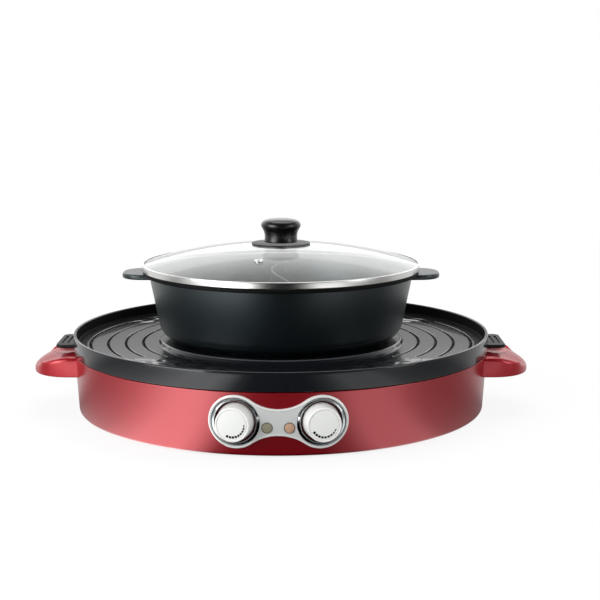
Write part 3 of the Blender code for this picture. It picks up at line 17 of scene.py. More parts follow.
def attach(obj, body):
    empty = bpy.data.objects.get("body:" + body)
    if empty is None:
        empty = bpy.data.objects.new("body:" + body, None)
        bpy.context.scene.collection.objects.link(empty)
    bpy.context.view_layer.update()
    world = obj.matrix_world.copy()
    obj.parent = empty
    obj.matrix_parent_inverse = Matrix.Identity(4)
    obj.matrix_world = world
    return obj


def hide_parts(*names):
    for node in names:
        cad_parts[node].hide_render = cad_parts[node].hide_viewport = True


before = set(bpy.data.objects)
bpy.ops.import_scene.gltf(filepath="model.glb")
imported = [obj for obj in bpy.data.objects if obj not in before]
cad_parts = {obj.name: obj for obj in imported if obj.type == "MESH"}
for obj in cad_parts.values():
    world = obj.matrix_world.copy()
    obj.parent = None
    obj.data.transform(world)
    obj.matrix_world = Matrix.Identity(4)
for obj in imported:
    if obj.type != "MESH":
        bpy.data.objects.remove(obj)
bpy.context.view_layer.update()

# %% [markdown]
# ## Sizes
# In metres, as in the CAD source, because the finer surfaces have to sit where the solids sit.

# %% Sizes shared by several pieces
GAP = 0.0003
FOOT = 0.003
HOUSING_TOP = 0.0645
HOUSING_TOP_R = 0.2193
HOUSING_FOOT_R = 0.2155
HOUSING_WALL = 0.0025
CONTROL_Z = 0.0363
CONTROL_SPREAD = 0.0401
PANEL_FRONT = 0.0027
SURFACE = 0.072
RIM_R = 0.22
SKIRT_R = 0.2204
RIM_TOP = 0.084
POT_BOTTOM = 0.078
FLANGE_TOP = 0.1486
FLANGE_THICK = 0.0037
MOUTH_R = 0.14
LEAN = 0.198
POT_WALL = 0.0032
PAN_LIP_TOP = 0.0638
PAN_FLOOR = 0.0543
GLASS_SPHERE = 0.515
GLASS_APEX = 0.176
GLASS = 0.004
LID_R = 0.1468
BAND = 0.0006
WALL_SLOPE = (HOUSING_TOP_R - HOUSING_FOOT_R) / (HOUSING_TOP - FOOT)
SIDES = (("left", -1), ("right", 1))


def wall_r(height):
    """Outer radius of the housing's wall: a straight line from its foot to its top."""
    return HOUSING_FOOT_R + WALL_SLOPE * (height - FOOT)


def pot_r(height):
    """Outer radius of the pot's wall: it leans out by a fixed share of the height."""
    return MOUTH_R - LEAN * (FLANGE_TOP - FLANGE_THICK - height)


def glass_z(radius, depth=0):
    """Height of the glass, the cap of a sphere, at a depth under its outer face."""
    return GLASS_APEX - GLASS_SPHERE + np.sqrt((GLASS_SPHERE - depth) ** 2 - radius ** 2)


CONTROL_R = wall_r(CONTROL_Z)
print("control radius %.4f m" % CONTROL_R)

# %% [markdown]
# ## Tools for shapes
# Most pieces come from one of three grids: an outline turned round an axis, a flat plan with
# rounded edges, or a section carried along a path. One function turns a grid of points into faces,
# and one cuts clean openings. np.r_ joins rows of points end to end and np.c_ puts columns side by
# side.

# %% Tools for outlines


def smoothstep(value):
    """From 0 to 1 as value does, flat at both ends: 3 v squared minus 2 v cubed."""
    value = np.clip(value, 0, 1)
    return value * value * (3 - 2 * value)


def unit(rows):
    """Vectors of length 1."""
    return rows / np.linalg.norm(rows, axis=-1, keepdims=True)


def rounded(corners, facets=6):
    """Closed outline through (x, y, rounding) corners. A rounding is the arc that touches both
    sides; its centre lies on the bisector at rounding / sin(half the angle)."""
    corners = np.array([(*corner, 0)[:3] for corner in corners])
    parts = []
    for index, (x, y, radius) in enumerate(corners):
        here = np.array([x, y])
        if radius == 0:
            parts.append(here[None])
            continue
        back = unit(corners[index - 1, :2] - here)
        ahead = unit(corners[(index + 1) % len(corners), :2] - here)
        half = np.arccos(np.clip(back @ ahead, -1, 1)) / 2
        centre = here + unit(back + ahead) * radius / np.sin(half)
        start = here + back * radius / np.tan(half) - centre
        end = here + ahead * radius / np.tan(half) - centre
        sweep = np.arctan2(start[0] * end[1] - start[1] * end[0], start @ end)
        turn = (np.linspace(0, 1, facets + 1) * sweep)[:, None]
        parts.append(centre + start * np.cos(turn) + np.array([-start[1], start[0]]) * np.sin(turn))
    return np.vstack(parts)


def box_plan(width, height, corner, x=0, y=0, facets=6):
    """Rounded rectangle, counter-clockwise, about (x, y)."""
    signs = ((1, -1), (1, 1), (-1, 1), (-1, -1))
    return rounded([(x + sx * width / 2, y + sy * height / 2, corner) for sx, sy in signs], facets)


def flowing(points, steps):
    """Catmull-Rom spline: its slope at a point is half the step between the two next to it."""
    points = np.array(points)
    padded = np.r_[2 * points[:1] - points[1:2], points, 2 * points[-1:] - points[-2:-1]]
    p0, p1, p2, p3 = (padded[first:first + len(points) - 1, None] for first in range(4))
    t = np.linspace(0, 1, steps, endpoint=False)[None, :, None]
    line = 0.5 * (2 * p1 + (p2 - p0) * t + (2 * p0 - 5 * p1 + 4 * p2 - p3) * t ** 2
                  + (3 * p1 - p0 - 3 * p2 + p3) * t ** 3)
    return np.r_[line.reshape(-1, 2), points[-1:]]


# %% Tools for places


def polar(radius, angle, height):
    """Points x = radius cos(angle), y = radius sin(angle), z = height."""
    rows = np.broadcast_arrays(radius * np.cos(angle), radius * np.sin(angle), height)
    return np.stack(rows, -1)


def placed(x_axis, y_axis, z_axis, origin):
    """Frame from its three axes and its origin."""
    place = np.eye(4)
    place[:3] = np.c_[x_axis, y_axis, z_axis, origin]
    return place


def shifted(x, y, z=0):
    """Frame that only moves."""
    return placed(*np.eye(3), (x, y, z))


def half_turn(side):
    """Frame that turns a right-hand piece half round for the left."""
    return np.diag([side, side, 1, 1])


def on_wall(along, height):
    """Frame on the round wall, a distance along from the front: z points out and y up."""
    out = polar(1, along / CONTROL_R - math.pi / 2, 0)
    up = np.array([0, 0, 1])
    return placed(np.cross(up, out), up, out, out * wall_r(height) + up * height)


def moved(grid, place):
    """Points in a frame: turned by its 3x3 part, with its origin added."""
    return grid if place is None else grid @ place[:3, :3].T + place[:3, 3]


# %% Tools for meshes


def skin(name, grids, loop_rows=False, loop_columns=True):
    """One mesh from one or more grids; four neighbouring points make a face. A looped direction
    joins its last line to its first. Doubles are merged and the faces turned outwards."""
    grids = [grids] if isinstance(grids, np.ndarray) else grids
    points, faces, start = [], [], 0
    for grid in grids:
        rows, columns = grid.shape[:2]
        number = start + np.arange(rows * columns).reshape(rows, columns)
        if loop_rows:
            number = np.vstack([number, number[:1]])
        if loop_columns:
            number = np.hstack([number, number[:, :1]])
        corners = (number[:-1, :-1], number[1:, :-1], number[1:, 1:], number[:-1, 1:])
        faces.append(np.stack(corners, -1).reshape(-1, 4))
        points.append(grid.reshape(-1, 3))
        start += rows * columns
    mesh = bpy.data.meshes.new(name)
    mesh.from_pydata(np.vstack(points).tolist(), [], np.vstack(faces).tolist())
    work = bmesh.new()
    work.from_mesh(mesh)
    bmesh.ops.remove_doubles(work, verts=work.verts, dist=2e-6)
    bmesh.ops.recalc_face_normals(work, faces=work.faces)
    work.to_mesh(mesh)
    work.free()
    return linked(name, mesh)


def linked(name, data):
    """A new object in the scene."""
    thing = bpy.data.objects.new(name, data)
    bpy.context.scene.collection.objects.link(thing)
    return thing


def capped(grid):
    """Close a carried section: its first and last rows shrink to their middles."""
    first, last = (np.broadcast_to(row.mean(0), (1, *row.shape)) for row in (grid[0], grid[-1]))
    return np.r_[first, grid, last]


def turned_grid(outline, segments, place=None):
    """Outline points (radius, height) turned round z."""
    radius, height = np.array(outline).T[:, :, None]
    angle = np.linspace(0, 2 * np.pi, segments, endpoint=False)
    return moved(polar(radius, angle, height), place)


def turned(name, outline, segments, place=None):
    """A solid of revolution from a closed outline."""
    return skin(name, turned_grid(outline, segments, place), loop_rows=True)


def drum(name, radius, bottom, top, place=None, segments=96):
    """A plain round piece, to cut with or to cut from."""
    return turned(name, [(0, top), (radius, top), (radius, bottom), (0, bottom)], segments, place)


def slab_grid(plan, bottom, top, edge=1e-5, facets=1, place=None):
    """A flat plate with rounded edges: towards its faces the plan is drawn in by edge (1 - sin a)
    while the height moves by edge (1 - cos a), as a runs over a quarter turn. Outwards is square
    to the mean direction of the two sides at a point."""
    step = unit(np.roll(plan, -1, 0) - plan)
    ahead = step + np.roll(step, 1, 0)
    outward = unit(np.c_[ahead[:, 1], -ahead[:, 0]])
    turn = np.linspace(0, np.pi / 2, facets + 1)[:, None, None]
    flat = plan - outward * edge * (1 - np.sin(turn))
    rise = edge * (1 - np.cos(turn)) + 0 * plan[None, :, :1]
    low = np.concatenate([flat, bottom + rise], -1)
    high = np.concatenate([flat, top - rise], -1)[::-1]
    return moved(capped(np.r_[low, high]), place)


def slab(name, *values, place=None):
    """The mesh of one such plate."""
    return skin(name, slab_grid(*values, place=place))


def cut(thing, *tools, solver="EXACT"):
    """Cut tools out of a piece for good. The exact solver is the rule; the fast one serves where a
    tool's face lies along one of the piece."""
    for tool in tools:
        step = thing.modifiers.new(tool.name, "BOOLEAN")
        step.operation = "DIFFERENCE"
        step.solver = solver
        step.object = tool
    depsgraph = bpy.context.evaluated_depsgraph_get()
    result = bpy.data.meshes.new_from_object(thing.evaluated_get(depsgraph))
    thing.modifiers.clear()
    thing.data = result
    for tool in tools:
        bpy.data.objects.remove(tool, do_unlink=True)
    return thing


# %% Tools to finish a piece


def dress(thing, body, material, slot, *nodes, sharp=35):
    """Finish a piece: shading, material, body and the CAD nodes it stands for. The slot is not
    used.
    """
    mesh = thing.data
    mesh.shade_smooth()
    mesh.set_sharp_from_angle(angle=math.radians(sharp))
    mesh.materials.clear()
    mesh.materials.append(material)
    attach(thing, body)
    if nodes:
        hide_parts(*nodes)
    print("%-22s %6d faces on %s" % (thing.name, len(mesh.polygons), body))
    return thing


def face_middles(thing):
    """Rows x, y and z of the middle of every face."""
    return np.array([face.center[:] for face in thing.data.polygons]).T


def recoat(thing, material, chosen):
    """Give chosen faces of a piece another finish."""
    index = np.zeros(len(thing.data.polygons), np.int32)
    thing.data.polygons.foreach_get("material_index", index)
    index[chosen] = len(thing.data.materials)
    thing.data.materials.append(material)
    thing.data.polygons.foreach_set("material_index", index)
    print(thing.name, "recoated faces:", int(chosen.sum()))


# %% [markdown]
# ## Tools for materials
# Every finish is a Principled shader. A cast, moulded or sprayed surface is never perfectly even,
# so each one gets a fine relief and a slightly uneven gloss and tone. All three come from noise on
# Object coordinates, whose scale is worked out from a size in millimetres.

# %% Tools for materials


def linear(hex_colour):
    """sRGB hex to the linear values that Blender works with."""
    srgb = np.array([int(hex_colour[index:index + 2], 16) for index in (1, 3, 5)]) / 255
    value = np.where(srgb <= 0.04045, srgb / 12.92, ((srgb + 0.055) / 1.055) ** 2.4)
    return (*value.tolist(), 1)


def feed(made, inputs):
    """Fill a node's inputs with values, outputs, or nodes, which stand for their first output."""
    for name, value in inputs.items():
        value = value.outputs[0] if isinstance(value, bpy.types.Node) else value
        if isinstance(value, bpy.types.NodeSocket):
            made.id_data.links.new(value, made.inputs[name])
        else:
            made.inputs[name].default_value = value


def node(tree, kind, inputs=None, **settings):
    """Add one node with its settings, values and links."""
    made = tree.nodes.new("ShaderNode" + kind)
    for option, value in settings.items():
        setattr(made, option, value)
    feed(made, inputs or {})
    return made


def per_mm(size_mm):
    """Noise scale for features of about this size."""
    return 1000 / size_mm


def finish(name, colour, gloss, grain, tone, coat=(0, 0.03), flakes=None, **sockets):
    """Principled material from pairs: roughness and its change, the grain's size and height in mm,
    the colour's change and its patches in mm, the coat's weight and roughness, and the flakes' size
    in mm and how much lighter or darker each one is."""
    material = bpy.data.materials.new(name)
    material.use_nodes = True
    tree = material.node_tree
    shader = tree.nodes["Principled BSDF"]
    place = node(tree, "TexCoord").outputs["Object"]
    patches = node(tree, "TexNoise", {"Vector": place, "Scale": per_mm(tone[1]), "Detail": 3})
    tint = node(tree, "ValToRGB", {"Fac": patches})
    full = np.array(linear(colour)[:3])
    for mark, position, change in zip(tint.color_ramp.elements, (0.2, 0.8), (-tone[0], tone[0])):
        mark.position = position
        mark.color = (*np.minimum(full * (1 + change), 1), 1)
    if flakes:
        cells = node(tree, "TexVoronoi", {"Vector": place, "Scale": per_mm(flakes[0])})
        grey = node(tree, "RGBToBW", {"Color": cells.outputs["Color"]})
        light = node(tree, "MapRange", {"Value": grey, "To Min": 1 - flakes[1],
                                        "To Max": 1 + flakes[1]})
        tint = node(tree, "VectorMath", {0: tint, 1: light}, operation="MULTIPLY")
    rough = node(tree, "MapRange", {"Value": patches, "From Min": 0.2, "From Max": 0.8,
                                    "To Min": max(gloss[0] - gloss[1], 0), "To Max": sum(gloss)})
    fine = node(tree, "TexNoise", {"Vector": place, "Scale": per_mm(grain[0]), "Detail": 4})
    relief = node(tree, "Bump", {"Height": fine, "Strength": 1, "Distance": grain[1] / 1000})
    feed(shader, {"Base Color": tint, "Roughness": rough, "Normal": relief, "Coat Weight": coat[0],
                  "Coat Roughness": coat[1]})
    feed(shader, {socket.replace("_", " "): value for socket, value in sockets.items()})
    return material


# %% [markdown]
# ## Finishes
# The base is ABS sprayed with metallic red and a clear coat: a deep colour, a soft glow from the
# flakes and one sharp reflection on top. Plate and pot are die-cast aluminium with a sprayed black
# non-stick coating, which has a fine orange-peel grain and a satin sheen.

# %% Finishes of the base
# Lacquer with mica flakes, whose index is near 2: a deep red under a broad pale sheen.
red_lacquer = finish(
    "metallic_red_lacquered_abs", "#A20017", (0.3, 0.01), (1.6, 0.002), (0.03, 90), (0.3, 0.16),
    (0.5, 0.1), Metallic=0.45, IOR=2)
# The same on the grips, a little lighter and with a sharper top coat.
red_grip = finish(
    "red_lacquered_abs_grip", "#B2041C", (0.32, 0.01), (1.4, 0.002), (0.03, 60), (0.3, 0.12),
    (0.5, 0.08), Metallic=0.4, IOR=1.7)
# Silver paint is an even pale grey with a soft shine.
silver_abs = finish(
    "silver_painted_abs", "#DCDFDE", (0.36, 0.01), (0.5, 0.002), (0.008, 40), (0.3, 0.15),
    Metallic=0.1)
# Satin chrome on the panel's rim catches the light as a bright line.
rim_chrome = finish(
    "satin_chrome_plated_rim", "#FAFBF9", (0.26, 0.01), (0.5, 0.002), (0.008, 40), (0.4, 0.12),
    Metallic=0.15)
# Chrome plating mirrors the studio, so a cup is dark and bright in turn.
chrome_cup = finish(
    "dark_chrome_plated_abs", "#BFC5C7", (0.09, 0.01), (0.8, 0.001), (0.03, 40), Metallic=1)
# Pearl-white ABS has a soft gloss, and the disc let into it is matter.
pearl_abs = finish(
    "pearl_white_abs", "#FBFBF8", (0.3, 0.01), (0.9, 0.002), (0.006, 40), (0.3, 0.12))
dial_disc = finish("white_dial_disc", "#F8FAF7", (0.34, 0.01), (0.4, 0.003), (0.008, 40))
# Printing ink is flat black and hardly shines.
dial_ink = finish(
    "black_printing_ink", "#070707", (0.6, 0.04), (0.3, 0.004), (0.1, 40), Specular_IOR_Level=0.2)
# Red ABS on a cup's floor is painted maroon: painted shade, as it lies in the cup's shade.
shade_painted_red = finish("shaded_red_abs_core", "#56060F", (0.5, 0.04), (0.8, 0.006), (0.05, 40))
# A dull grey ring hides the gap round each lens.
lens_edge = finish("grey_lens_edge", "#6E6C66", (0.35, 0.04), (0.5, 0.003), (0.05, 40))
# Tinted polycarbonate is smooth and a little cloudy.
olive_lens = finish(
    "olive_tinted_polycarbonate", "#99957F", (0.18, 0.04), (0.6, 0.004), (0.08, 4), (0.5, 0.05))
amber_lens = finish(
    "amber_tinted_polycarbonate", "#CBA58A", (0.18, 0.04), (0.6, 0.004), (0.1, 4), (0.5, 0.05))
print("base finishes:", len(bpy.data.materials))

# %% Finishes of the plate, the pot and the lid
# The sprayed film has a smooth top, so it mirrors at a low angle like a pale sheet and stays nearly
# black when looked at squarely.
plate_coating = finish(
    "nonstick_coated_die_cast_aluminium", "#16181C", (0.22, 0.015), (1, 0.004), (0.06, 30),
    (0.6, 0.06), Specular_IOR_Level=0.15)
# The ears' coating is darker and rougher: painted shade that dims their sheen.
ear_coating = finish(
    "worn_coating_of_the_ears", "#0F1113", (0.42, 0.04), (1, 0.005), (0.08, 15),
    Specular_IOR_Level=0.25)
# Painted shade: a dull near-black coating in the narrow arcs, up the inside of the rim and under
# the pot's flange; on the floor beside the rim it is a painted dark reflection of the rim.
shade_painted_coating = finish(
    "dull_coating_in_the_grooves", "#040505", (0.6, 0.04), (1, 0.004), (0.06, 40),
    Specular_IOR_Level=0.12)
# The edge of the ring is painted grey: a painted highlight for the thin bright line it shows.
painted_highlight_edge = finish(
    "worn_coating_on_the_ring_edge", "#4A4C50", (0.35, 0.04), (1, 0.004), (0.08, 40), (0.6, 0.1))
# The pot's coating is satin: its wall shows the studio as a soft, slightly blue glow.
pot_coating = finish(
    "satin_nonstick_pot_coating", "#01090D", (0.42, 0.02), (0.7, 0.006), (0.06, 30), (0.3, 0.3),
    IOR=1.65, Specular_Tint=(0.8, 0.95, 1, 1))
# Pressed bakelite is deep black with a waxy shine.
bakelite = finish(
    "satin_black_bakelite", "#0A0A0B", (0.3, 0.04), (1.2, 0.002), (0.1, 40), (0.2, 0.18))
# Stainless steel is a soft mirror, a little duller as rolled strip.
stainless = finish(
    "polished_stainless_steel", "#DADAD7", (0.2, 0.02), (0.25, 0.001), (0.02, 40), Metallic=1)
band_steel = finish(
    "rolled_stainless_steel_band", "#E6E6E3", (0.24, 0.02), (0.25, 0.001), (0.02, 40), Metallic=1)
# Tempered glass is clear, and seen through its edge faintly green.
lid_glass = finish(
    "tempered_soda_lime_glass", "#F6FBF9", (0, 0), (60, 0.001), (0.003, 40),
    Transmission_Weight=1, IOR=1.5)
# The collar's steel is painted dark: a painted dark reflection, which leaves only a dim, broad
# shine.
dark_reflection_steel = finish(
    "dark_plated_steel_collar", "#1C1D1E", (0.45, 0.02), (0.3, 0.001), (0.03, 40), Metallic=1)
print("with the cooking finishes:", len(bpy.data.materials))

# %% Finishes of what is hidden or small
# Zinc plating has spangles a few millimetres wide, each with its own grey and gloss.
sheet_steel = finish(
    "zinc_plated_sheet_steel", "#B7B7B3", (0.38, 0.08), (2.5, 0.004), (0.12, 9), Metallic=1)
# Bare cast aluminium is pale and frosty.
turned_aluminium = finish(
    "turned_cast_aluminium", "#A9A9A6", (0.42, 0.04), (0.5, 0.01), (0.06, 40), Metallic=1)
# Heat turns the sheath's steel brown and blotchy.
heater_sheath = finish(
    "heat_darkened_steel_sheath", "#4B4642", (0.5, 0.04), (0.5, 0.02), (0.25, 12), Metallic=1)
# Powder coating, rubber and PBT are three blacks, each with its own grain and dullness.
coated_sheet = finish("black_coated_sheet_steel", "#1C1C1E", (0.5, 0.04), (0.4, 0.02), (0.1, 40))
rubber = finish("moulded_black_rubber", "#161616", (0.8, 0.04), (0.3, 0.03), (0.1, 40))
black_pbt = finish("moulded_black_pbt", "#141415", (0.42, 0.04), (0.35, 0.02), (0.08, 40))
# Phenolic blocks are a dull sand colour, and nylon ones a clean off-white.
phenolic = finish("moulded_phenolic", "#B9AE93", (0.55, 0.04), (0.5, 0.02), (0.1, 40))
white_nylon = finish("moulded_white_nylon", "#E4E3DD", (0.45, 0.04), (0.5, 0.01), (0.03, 40))
# Light goes a few millimetres into silicone, which makes its edges milky.
silicone = finish(
    "clear_grey_silicone", "#C8C8C4", (0.5, 0.04), (0.5, 0.01), (0.04, 40), Subsurface_Weight=0.2,
    Subsurface_Radius=(0.004, 0.004, 0.004))
# A lamp's bulb is clear, with a warm trace of the coating inside.
lamp_glass = finish(
    "neon_lamp_glass", "#E8D9C8", (0.05, 0.02), (3, 0.002), (0.03, 40), Transmission_Weight=0.8)
print("all finishes:", len(bpy.data.materials))

# %% [markdown]
# ## The red housing
# The real shell is one injection moulding that leans in towards its foot. Here it is a turned
# outline with five clean cuts, for the two dial cups, the two lamp lenses and the power inlet.

# %% Places and holes on the wall
CUP_R = 0.0231
LENS_R = 0.0051
LAMP_SPREAD = 0.01035
LAMP_DROP = 0.005
INLET_W = 0.031
INLET_H = 0.0235
KNOB_PLACE = {label: on_wall(side * CONTROL_SPREAD, CONTROL_Z) for label, side in SIDES}
LENS_PLACE = {label: on_wall(side * LAMP_SPREAD, CONTROL_Z - LAMP_DROP) for label, side in SIDES}
tilt = np.array(Matrix.Rotation(math.atan(WALL_SLOPE), 4, "X"))
INLET_PLACE = on_wall(math.pi * CONTROL_R, CONTROL_Z) @ tilt


def control_holes(bottom, top, segments=96):
    """Tools for the two cups and the two lenses, with a gap round each."""
    sizes = ((CUP_R, KNOB_PLACE, segments), (LENS_R, LENS_PLACE, 64))
    return [drum(label + "_hole", radius + GAP, bottom, top, places[label], count)
            for label, side in SIDES for radius, places, count in sizes]


print("right dial at", KNOB_PLACE["right"][:3, 3].round(4))

# %% The red housing
COVER_R = 0.2057
COVER_LOW = FOOT + GAP
COVER_HIGH = COVER_LOW + 0.001
LEDGE = 0.0055
SHELF = 0.0105
opening = COVER_R + GAP
ledge_low = COVER_HIGH + GAP
ledge_high = ledge_low + HOUSING_WALL
shelf_top = HOUSING_TOP - 0.0015 - GAP
shelf_low = shelf_top - HOUSING_WALL
inner_top = HOUSING_TOP_R - HOUSING_WALL
housing_outline = rounded([
    (HOUSING_TOP_R, HOUSING_TOP, 0.0006), (HOUSING_FOOT_R, FOOT, 0.0035), (opening, FOOT, 0.0004),
    (opening, ledge_low), (opening - LEDGE, ledge_low), (opening - LEDGE, ledge_high),
    (HOUSING_FOOT_R - HOUSING_WALL, ledge_high, 0.0006),
    (wall_r(shelf_low) - HOUSING_WALL, shelf_low, 0.0006), (inner_top - SHELF, shelf_low),
    (inner_top - SHELF, shelf_top, 0.0003), (inner_top, shelf_top), (inner_top, HOUSING_TOP, 0.0006)
], 8)
WALL_CUT = (-0.0065, 0.004)
window = slab("inlet_window", box_plan(INLET_W + 2 * GAP, INLET_H + 2 * GAP, 0.003), *WALL_CUT,
              place=INLET_PLACE)
housing = cut(turned("housing_shell", housing_outline, 288), *control_holes(*WALL_CUT), window)
dress(housing, "base", red_lacquer, "red_shell", "base_housing", sharp=30)

# %% [markdown]
# ## The carrying grips
# Each grip is a hollow moulding with a round nose, soft upper edges and a thumb hollow where it
# meets the wall. A rounded section is carried outwards while its width follows a squarish oval,
# and the hollow is pressed into its top.

# %% Outlines of a grip
GRIP_REACH = 0.0453
GRIP_HALF = 0.06
GRIP_LOW = 0.043
GRIP_WALL = 0.0032
NOSE_ROUND = 0.0035
PAD_DROP = 0.0025
OVAL = 2.3
SCOOP_OUT = 0.01
SCOOP_HALF = (0.025, 0.026)
SCOOP_LEVEL = 0.0655
SCOOP_DEPTH = 0.009
SCOOP_SOFT = 0.0005


def grip_width(out, inset=0):
    """Half width in plan: a half oval of power 2.3."""
    share = np.clip(out / (GRIP_REACH - inset), 0, 1)
    return (GRIP_HALF - inset) * (1 - share ** OVAL) ** (1 / OVAL)


def grip_top(out):
    """Top along the middle: falls from the wall's top to the nose as (1 - share^1.4)^0.6."""
    share = np.clip(out / GRIP_REACH, 0, 1)
    nose = GRIP_LOW + NOSE_ROUND
    return nose + (HOUSING_TOP - 0.0005 - nose) * (1 - share ** 1.4) ** 0.6


def grip_low(out):
    """Underside: level, then a quarter round up to the nose."""
    into = np.clip(out - GRIP_REACH + NOSE_ROUND, 0, NOSE_ROUND)
    return GRIP_LOW + NOSE_ROUND - np.sqrt(NOSE_ROUND ** 2 - into ** 2)


def grip_sections(out, half, low, top):
    """Closed sections (station, point, 3). Across the top the height is the middle's less the drop
    times the square of the share of the pad's half width. At its sides a smooth step leads up to
    the rims, which fade to the nose."""
    half, low, top, out = half[:, None], low[:, None], top[:, None], out[:, None]
    drop = PAD_DROP * np.minimum(1, 3 * (top - low) / 0.021)
    fade = smoothstep((0.0375 - out) / 0.0065)
    rim = top - drop * (1 - fade)
    soft = np.minimum(0.004, np.minimum(0.13 * half, 0.45 * (rim - low)))
    small = np.minimum(0.0012, 0.3 * half)
    arc = np.linspace(0, np.pi / 2, 9)[None]
    y_top = (half - soft) * np.linspace(1, -1, 91)[None, 1:-1]
    place = np.abs(y_top) / half
    pad = top - drop * np.minimum(place / 0.8, 1) ** 2
    z_top = pad + (rim - pad) * smoothstep((place - 0.795) / 0.065)
    bottom = np.linspace(-1, 1, 30)[None, 1:-1]
    y = [half - small + small * np.sin(arc), half - soft + soft * np.cos(arc)]
    z = [low + small * (1 - np.cos(arc)), rim - soft + soft * np.sin(arc)]
    y += [y_top, -y[1][:, ::-1], -y[0][:, ::-1], (half - small) * bottom]
    z += [z_top, z[1][:, ::-1], z[0][:, ::-1], low + 0 * bottom]
    y, z = np.hstack(y), np.hstack(z)
    return np.stack([CONTROL_R + out + 0 * y, y, z], -1)


def scooped(grid):
    """Press the scoop under the plate's ear into the top: the surface is nowhere higher than the
    underside of an ellipsoid, and a soft minimum rounds the scoop's edge."""
    x, y, z = np.moveaxis(grid, -1, 0)
    flat = ((x - CONTROL_R - SCOOP_OUT) / SCOOP_HALF[0]) ** 2 + (y / SCOOP_HALF[1]) ** 2
    bowl = SCOOP_LEVEL - SCOOP_DEPTH * np.sqrt(np.clip(1 - flat, 0, None))
    bowl += 0.05 * np.clip(flat - 1, 0, None)
    near = np.clip(1 - np.abs(bowl - z) / (2 * SCOOP_SOFT), 0, None)
    pressed = np.minimum(bowl, z) - SCOOP_SOFT * near ** 2 / 2
    chosen = (z > GRIP_LOW + 0.01) & (x > CONTROL_R - 0.002)
    return np.stack([x, y, np.where(chosen, pressed, z)], -1)


def pocket_sections(out):
    """The hollow under a grip: a box section that follows the plan inside the wall."""
    out = out[:, None]
    corner = box_plan(1, 1, 0.06)[None]
    y = corner[..., 0] * 2 * grip_width(out, GRIP_WALL)
    low = GRIP_LOW - 0.002
    ceiling = GRIP_LOW + 0.5 * (grip_top(out) - GRIP_LOW)
    z = low + (corner[..., 1] + 0.5) * (ceiling - low)
    return np.stack([CONTROL_R + out + 0 * y, y, z], -1)


stations = np.r_[-0.01, -0.005, 0, GRIP_REACH * np.sin(np.linspace(0.03, 1.553, 76))]
pocket_stations = (GRIP_REACH - GRIP_WALL) * np.sin(np.linspace(0.08, 1.52, 40))
print("grip: %d sections, pocket: %d" % (len(stations), len(pocket_stations)))

# %% The carrying grips
SEAT_ROOM = 0.00003
grip_shape = grip_sections(stations, grip_width(stations), grip_low(stations), grip_top(stations))
grip_shape = capped(scooped(grip_shape))
pocket_shape = capped(pocket_sections(pocket_stations))
seat_top = HOUSING_TOP + 0.018
seat_outline = [(0, seat_top), (wall_r(seat_top) + SEAT_ROOM, seat_top),
                (wall_r(0) + SEAT_ROOM, 0), (0, 0)]
for label, side in SIDES:
    grip = skin(label + "_grip", moved(grip_shape, half_turn(side)))
    pocket = skin("pocket", moved(pocket_shape, half_turn(side)))
    cut(grip, pocket, turned("seat", seat_outline, 288))
    dress(grip, "base", red_grip, "red_handle", label + "_handle", sharp=40)

# %% [markdown]
# ## The control panel
# A silver dog-bone plate is bent round the wall. Its depth at every point comes from the distance
# to its own outline: a quarter round at the edge, a bright rim, then a step down to the field.

# %% The panel's outline
LOBE = 0.0258
WAIST = 0.01285
PANEL_THICK = 0.0024
PANEL_EDGE = 0.0013
PANEL_RIM = 0.0014
PANEL_END = CONTROL_SPREAD + LOBE


def panel_half(along):
    """Half height at a distance along the panel: round lobes joined by two hollow arcs."""
    along = np.abs(along)
    hollow = (CONTROL_SPREAD ** 2 + WAIST ** 2 - LOBE ** 2) / (2 * (LOBE - WAIST))
    joint = CONTROL_SPREAD * hollow / (hollow + LOBE)
    waist = WAIST + hollow - np.sqrt(np.clip(hollow ** 2 - along ** 2, 0, None))
    lobe = np.sqrt(np.clip(LOBE ** 2 - (along - CONTROL_SPREAD) ** 2, 0, None))
    return np.where(along < joint, waist, lobe)


def wrapped(along, height, depth):
    """Points on the wall from the distance along it, the height and the depth out of it."""
    return polar(wall_r(height) + depth, along / CONTROL_R - np.pi / 2, height)


def to_outline(along, height):
    """Distance of points to the panel's outline, taken as a dense row of points."""
    edge = -PANEL_END * np.cos(np.linspace(0, np.pi, 900))
    edge = np.c_[np.tile(edge, 2), np.r_[panel_half(edge), -panel_half(edge)]]
    parts = [np.sqrt(((block[:, None] - edge) ** 2).sum(-1)).min(1)
             for block in np.array_split(np.c_[along.ravel(), height.ravel()], 40)]
    return np.hstack(parts).reshape(along.shape)


print("panel: %.1f mm long" % (2000 * PANEL_END))

# %% The control panel
along = (-PANEL_END * np.cos(np.linspace(0, np.pi, 221)))[:, None]
height = np.sin(np.linspace(-np.pi / 2, np.pi / 2, 61))[None] * panel_half(along)
along = along + 0 * height
inward = to_outline(along, height)
to_edge = PANEL_EDGE - np.clip(inward, 0, PANEL_EDGE)
quarter = PANEL_EDGE - np.sqrt(np.clip(PANEL_EDGE ** 2 - to_edge ** 2, 0, None))
field = 0.0006 * smoothstep((inward - PANEL_RIM) / 0.0009)
front = wrapped(along, CONTROL_Z + height, GAP + PANEL_THICK - quarter - field)
back = wrapped(along, CONTROL_Z + height, GAP + 0 * height)
panel = skin("control_plate", np.hstack([front, back[:, ::-1]]))
cut(panel, *control_holes(-0.002, 0.006, 128))
dress(panel, "base", silver_abs, "silver_plastic", "control_panel", sharp=40)
x, y, z = face_middles(panel)
along = CONTROL_R * (np.arctan2(y, x) + np.pi / 2)
recoat(panel, rim_chrome, to_outline(along, z - CONTROL_Z) < PANEL_RIM + 0.0004)
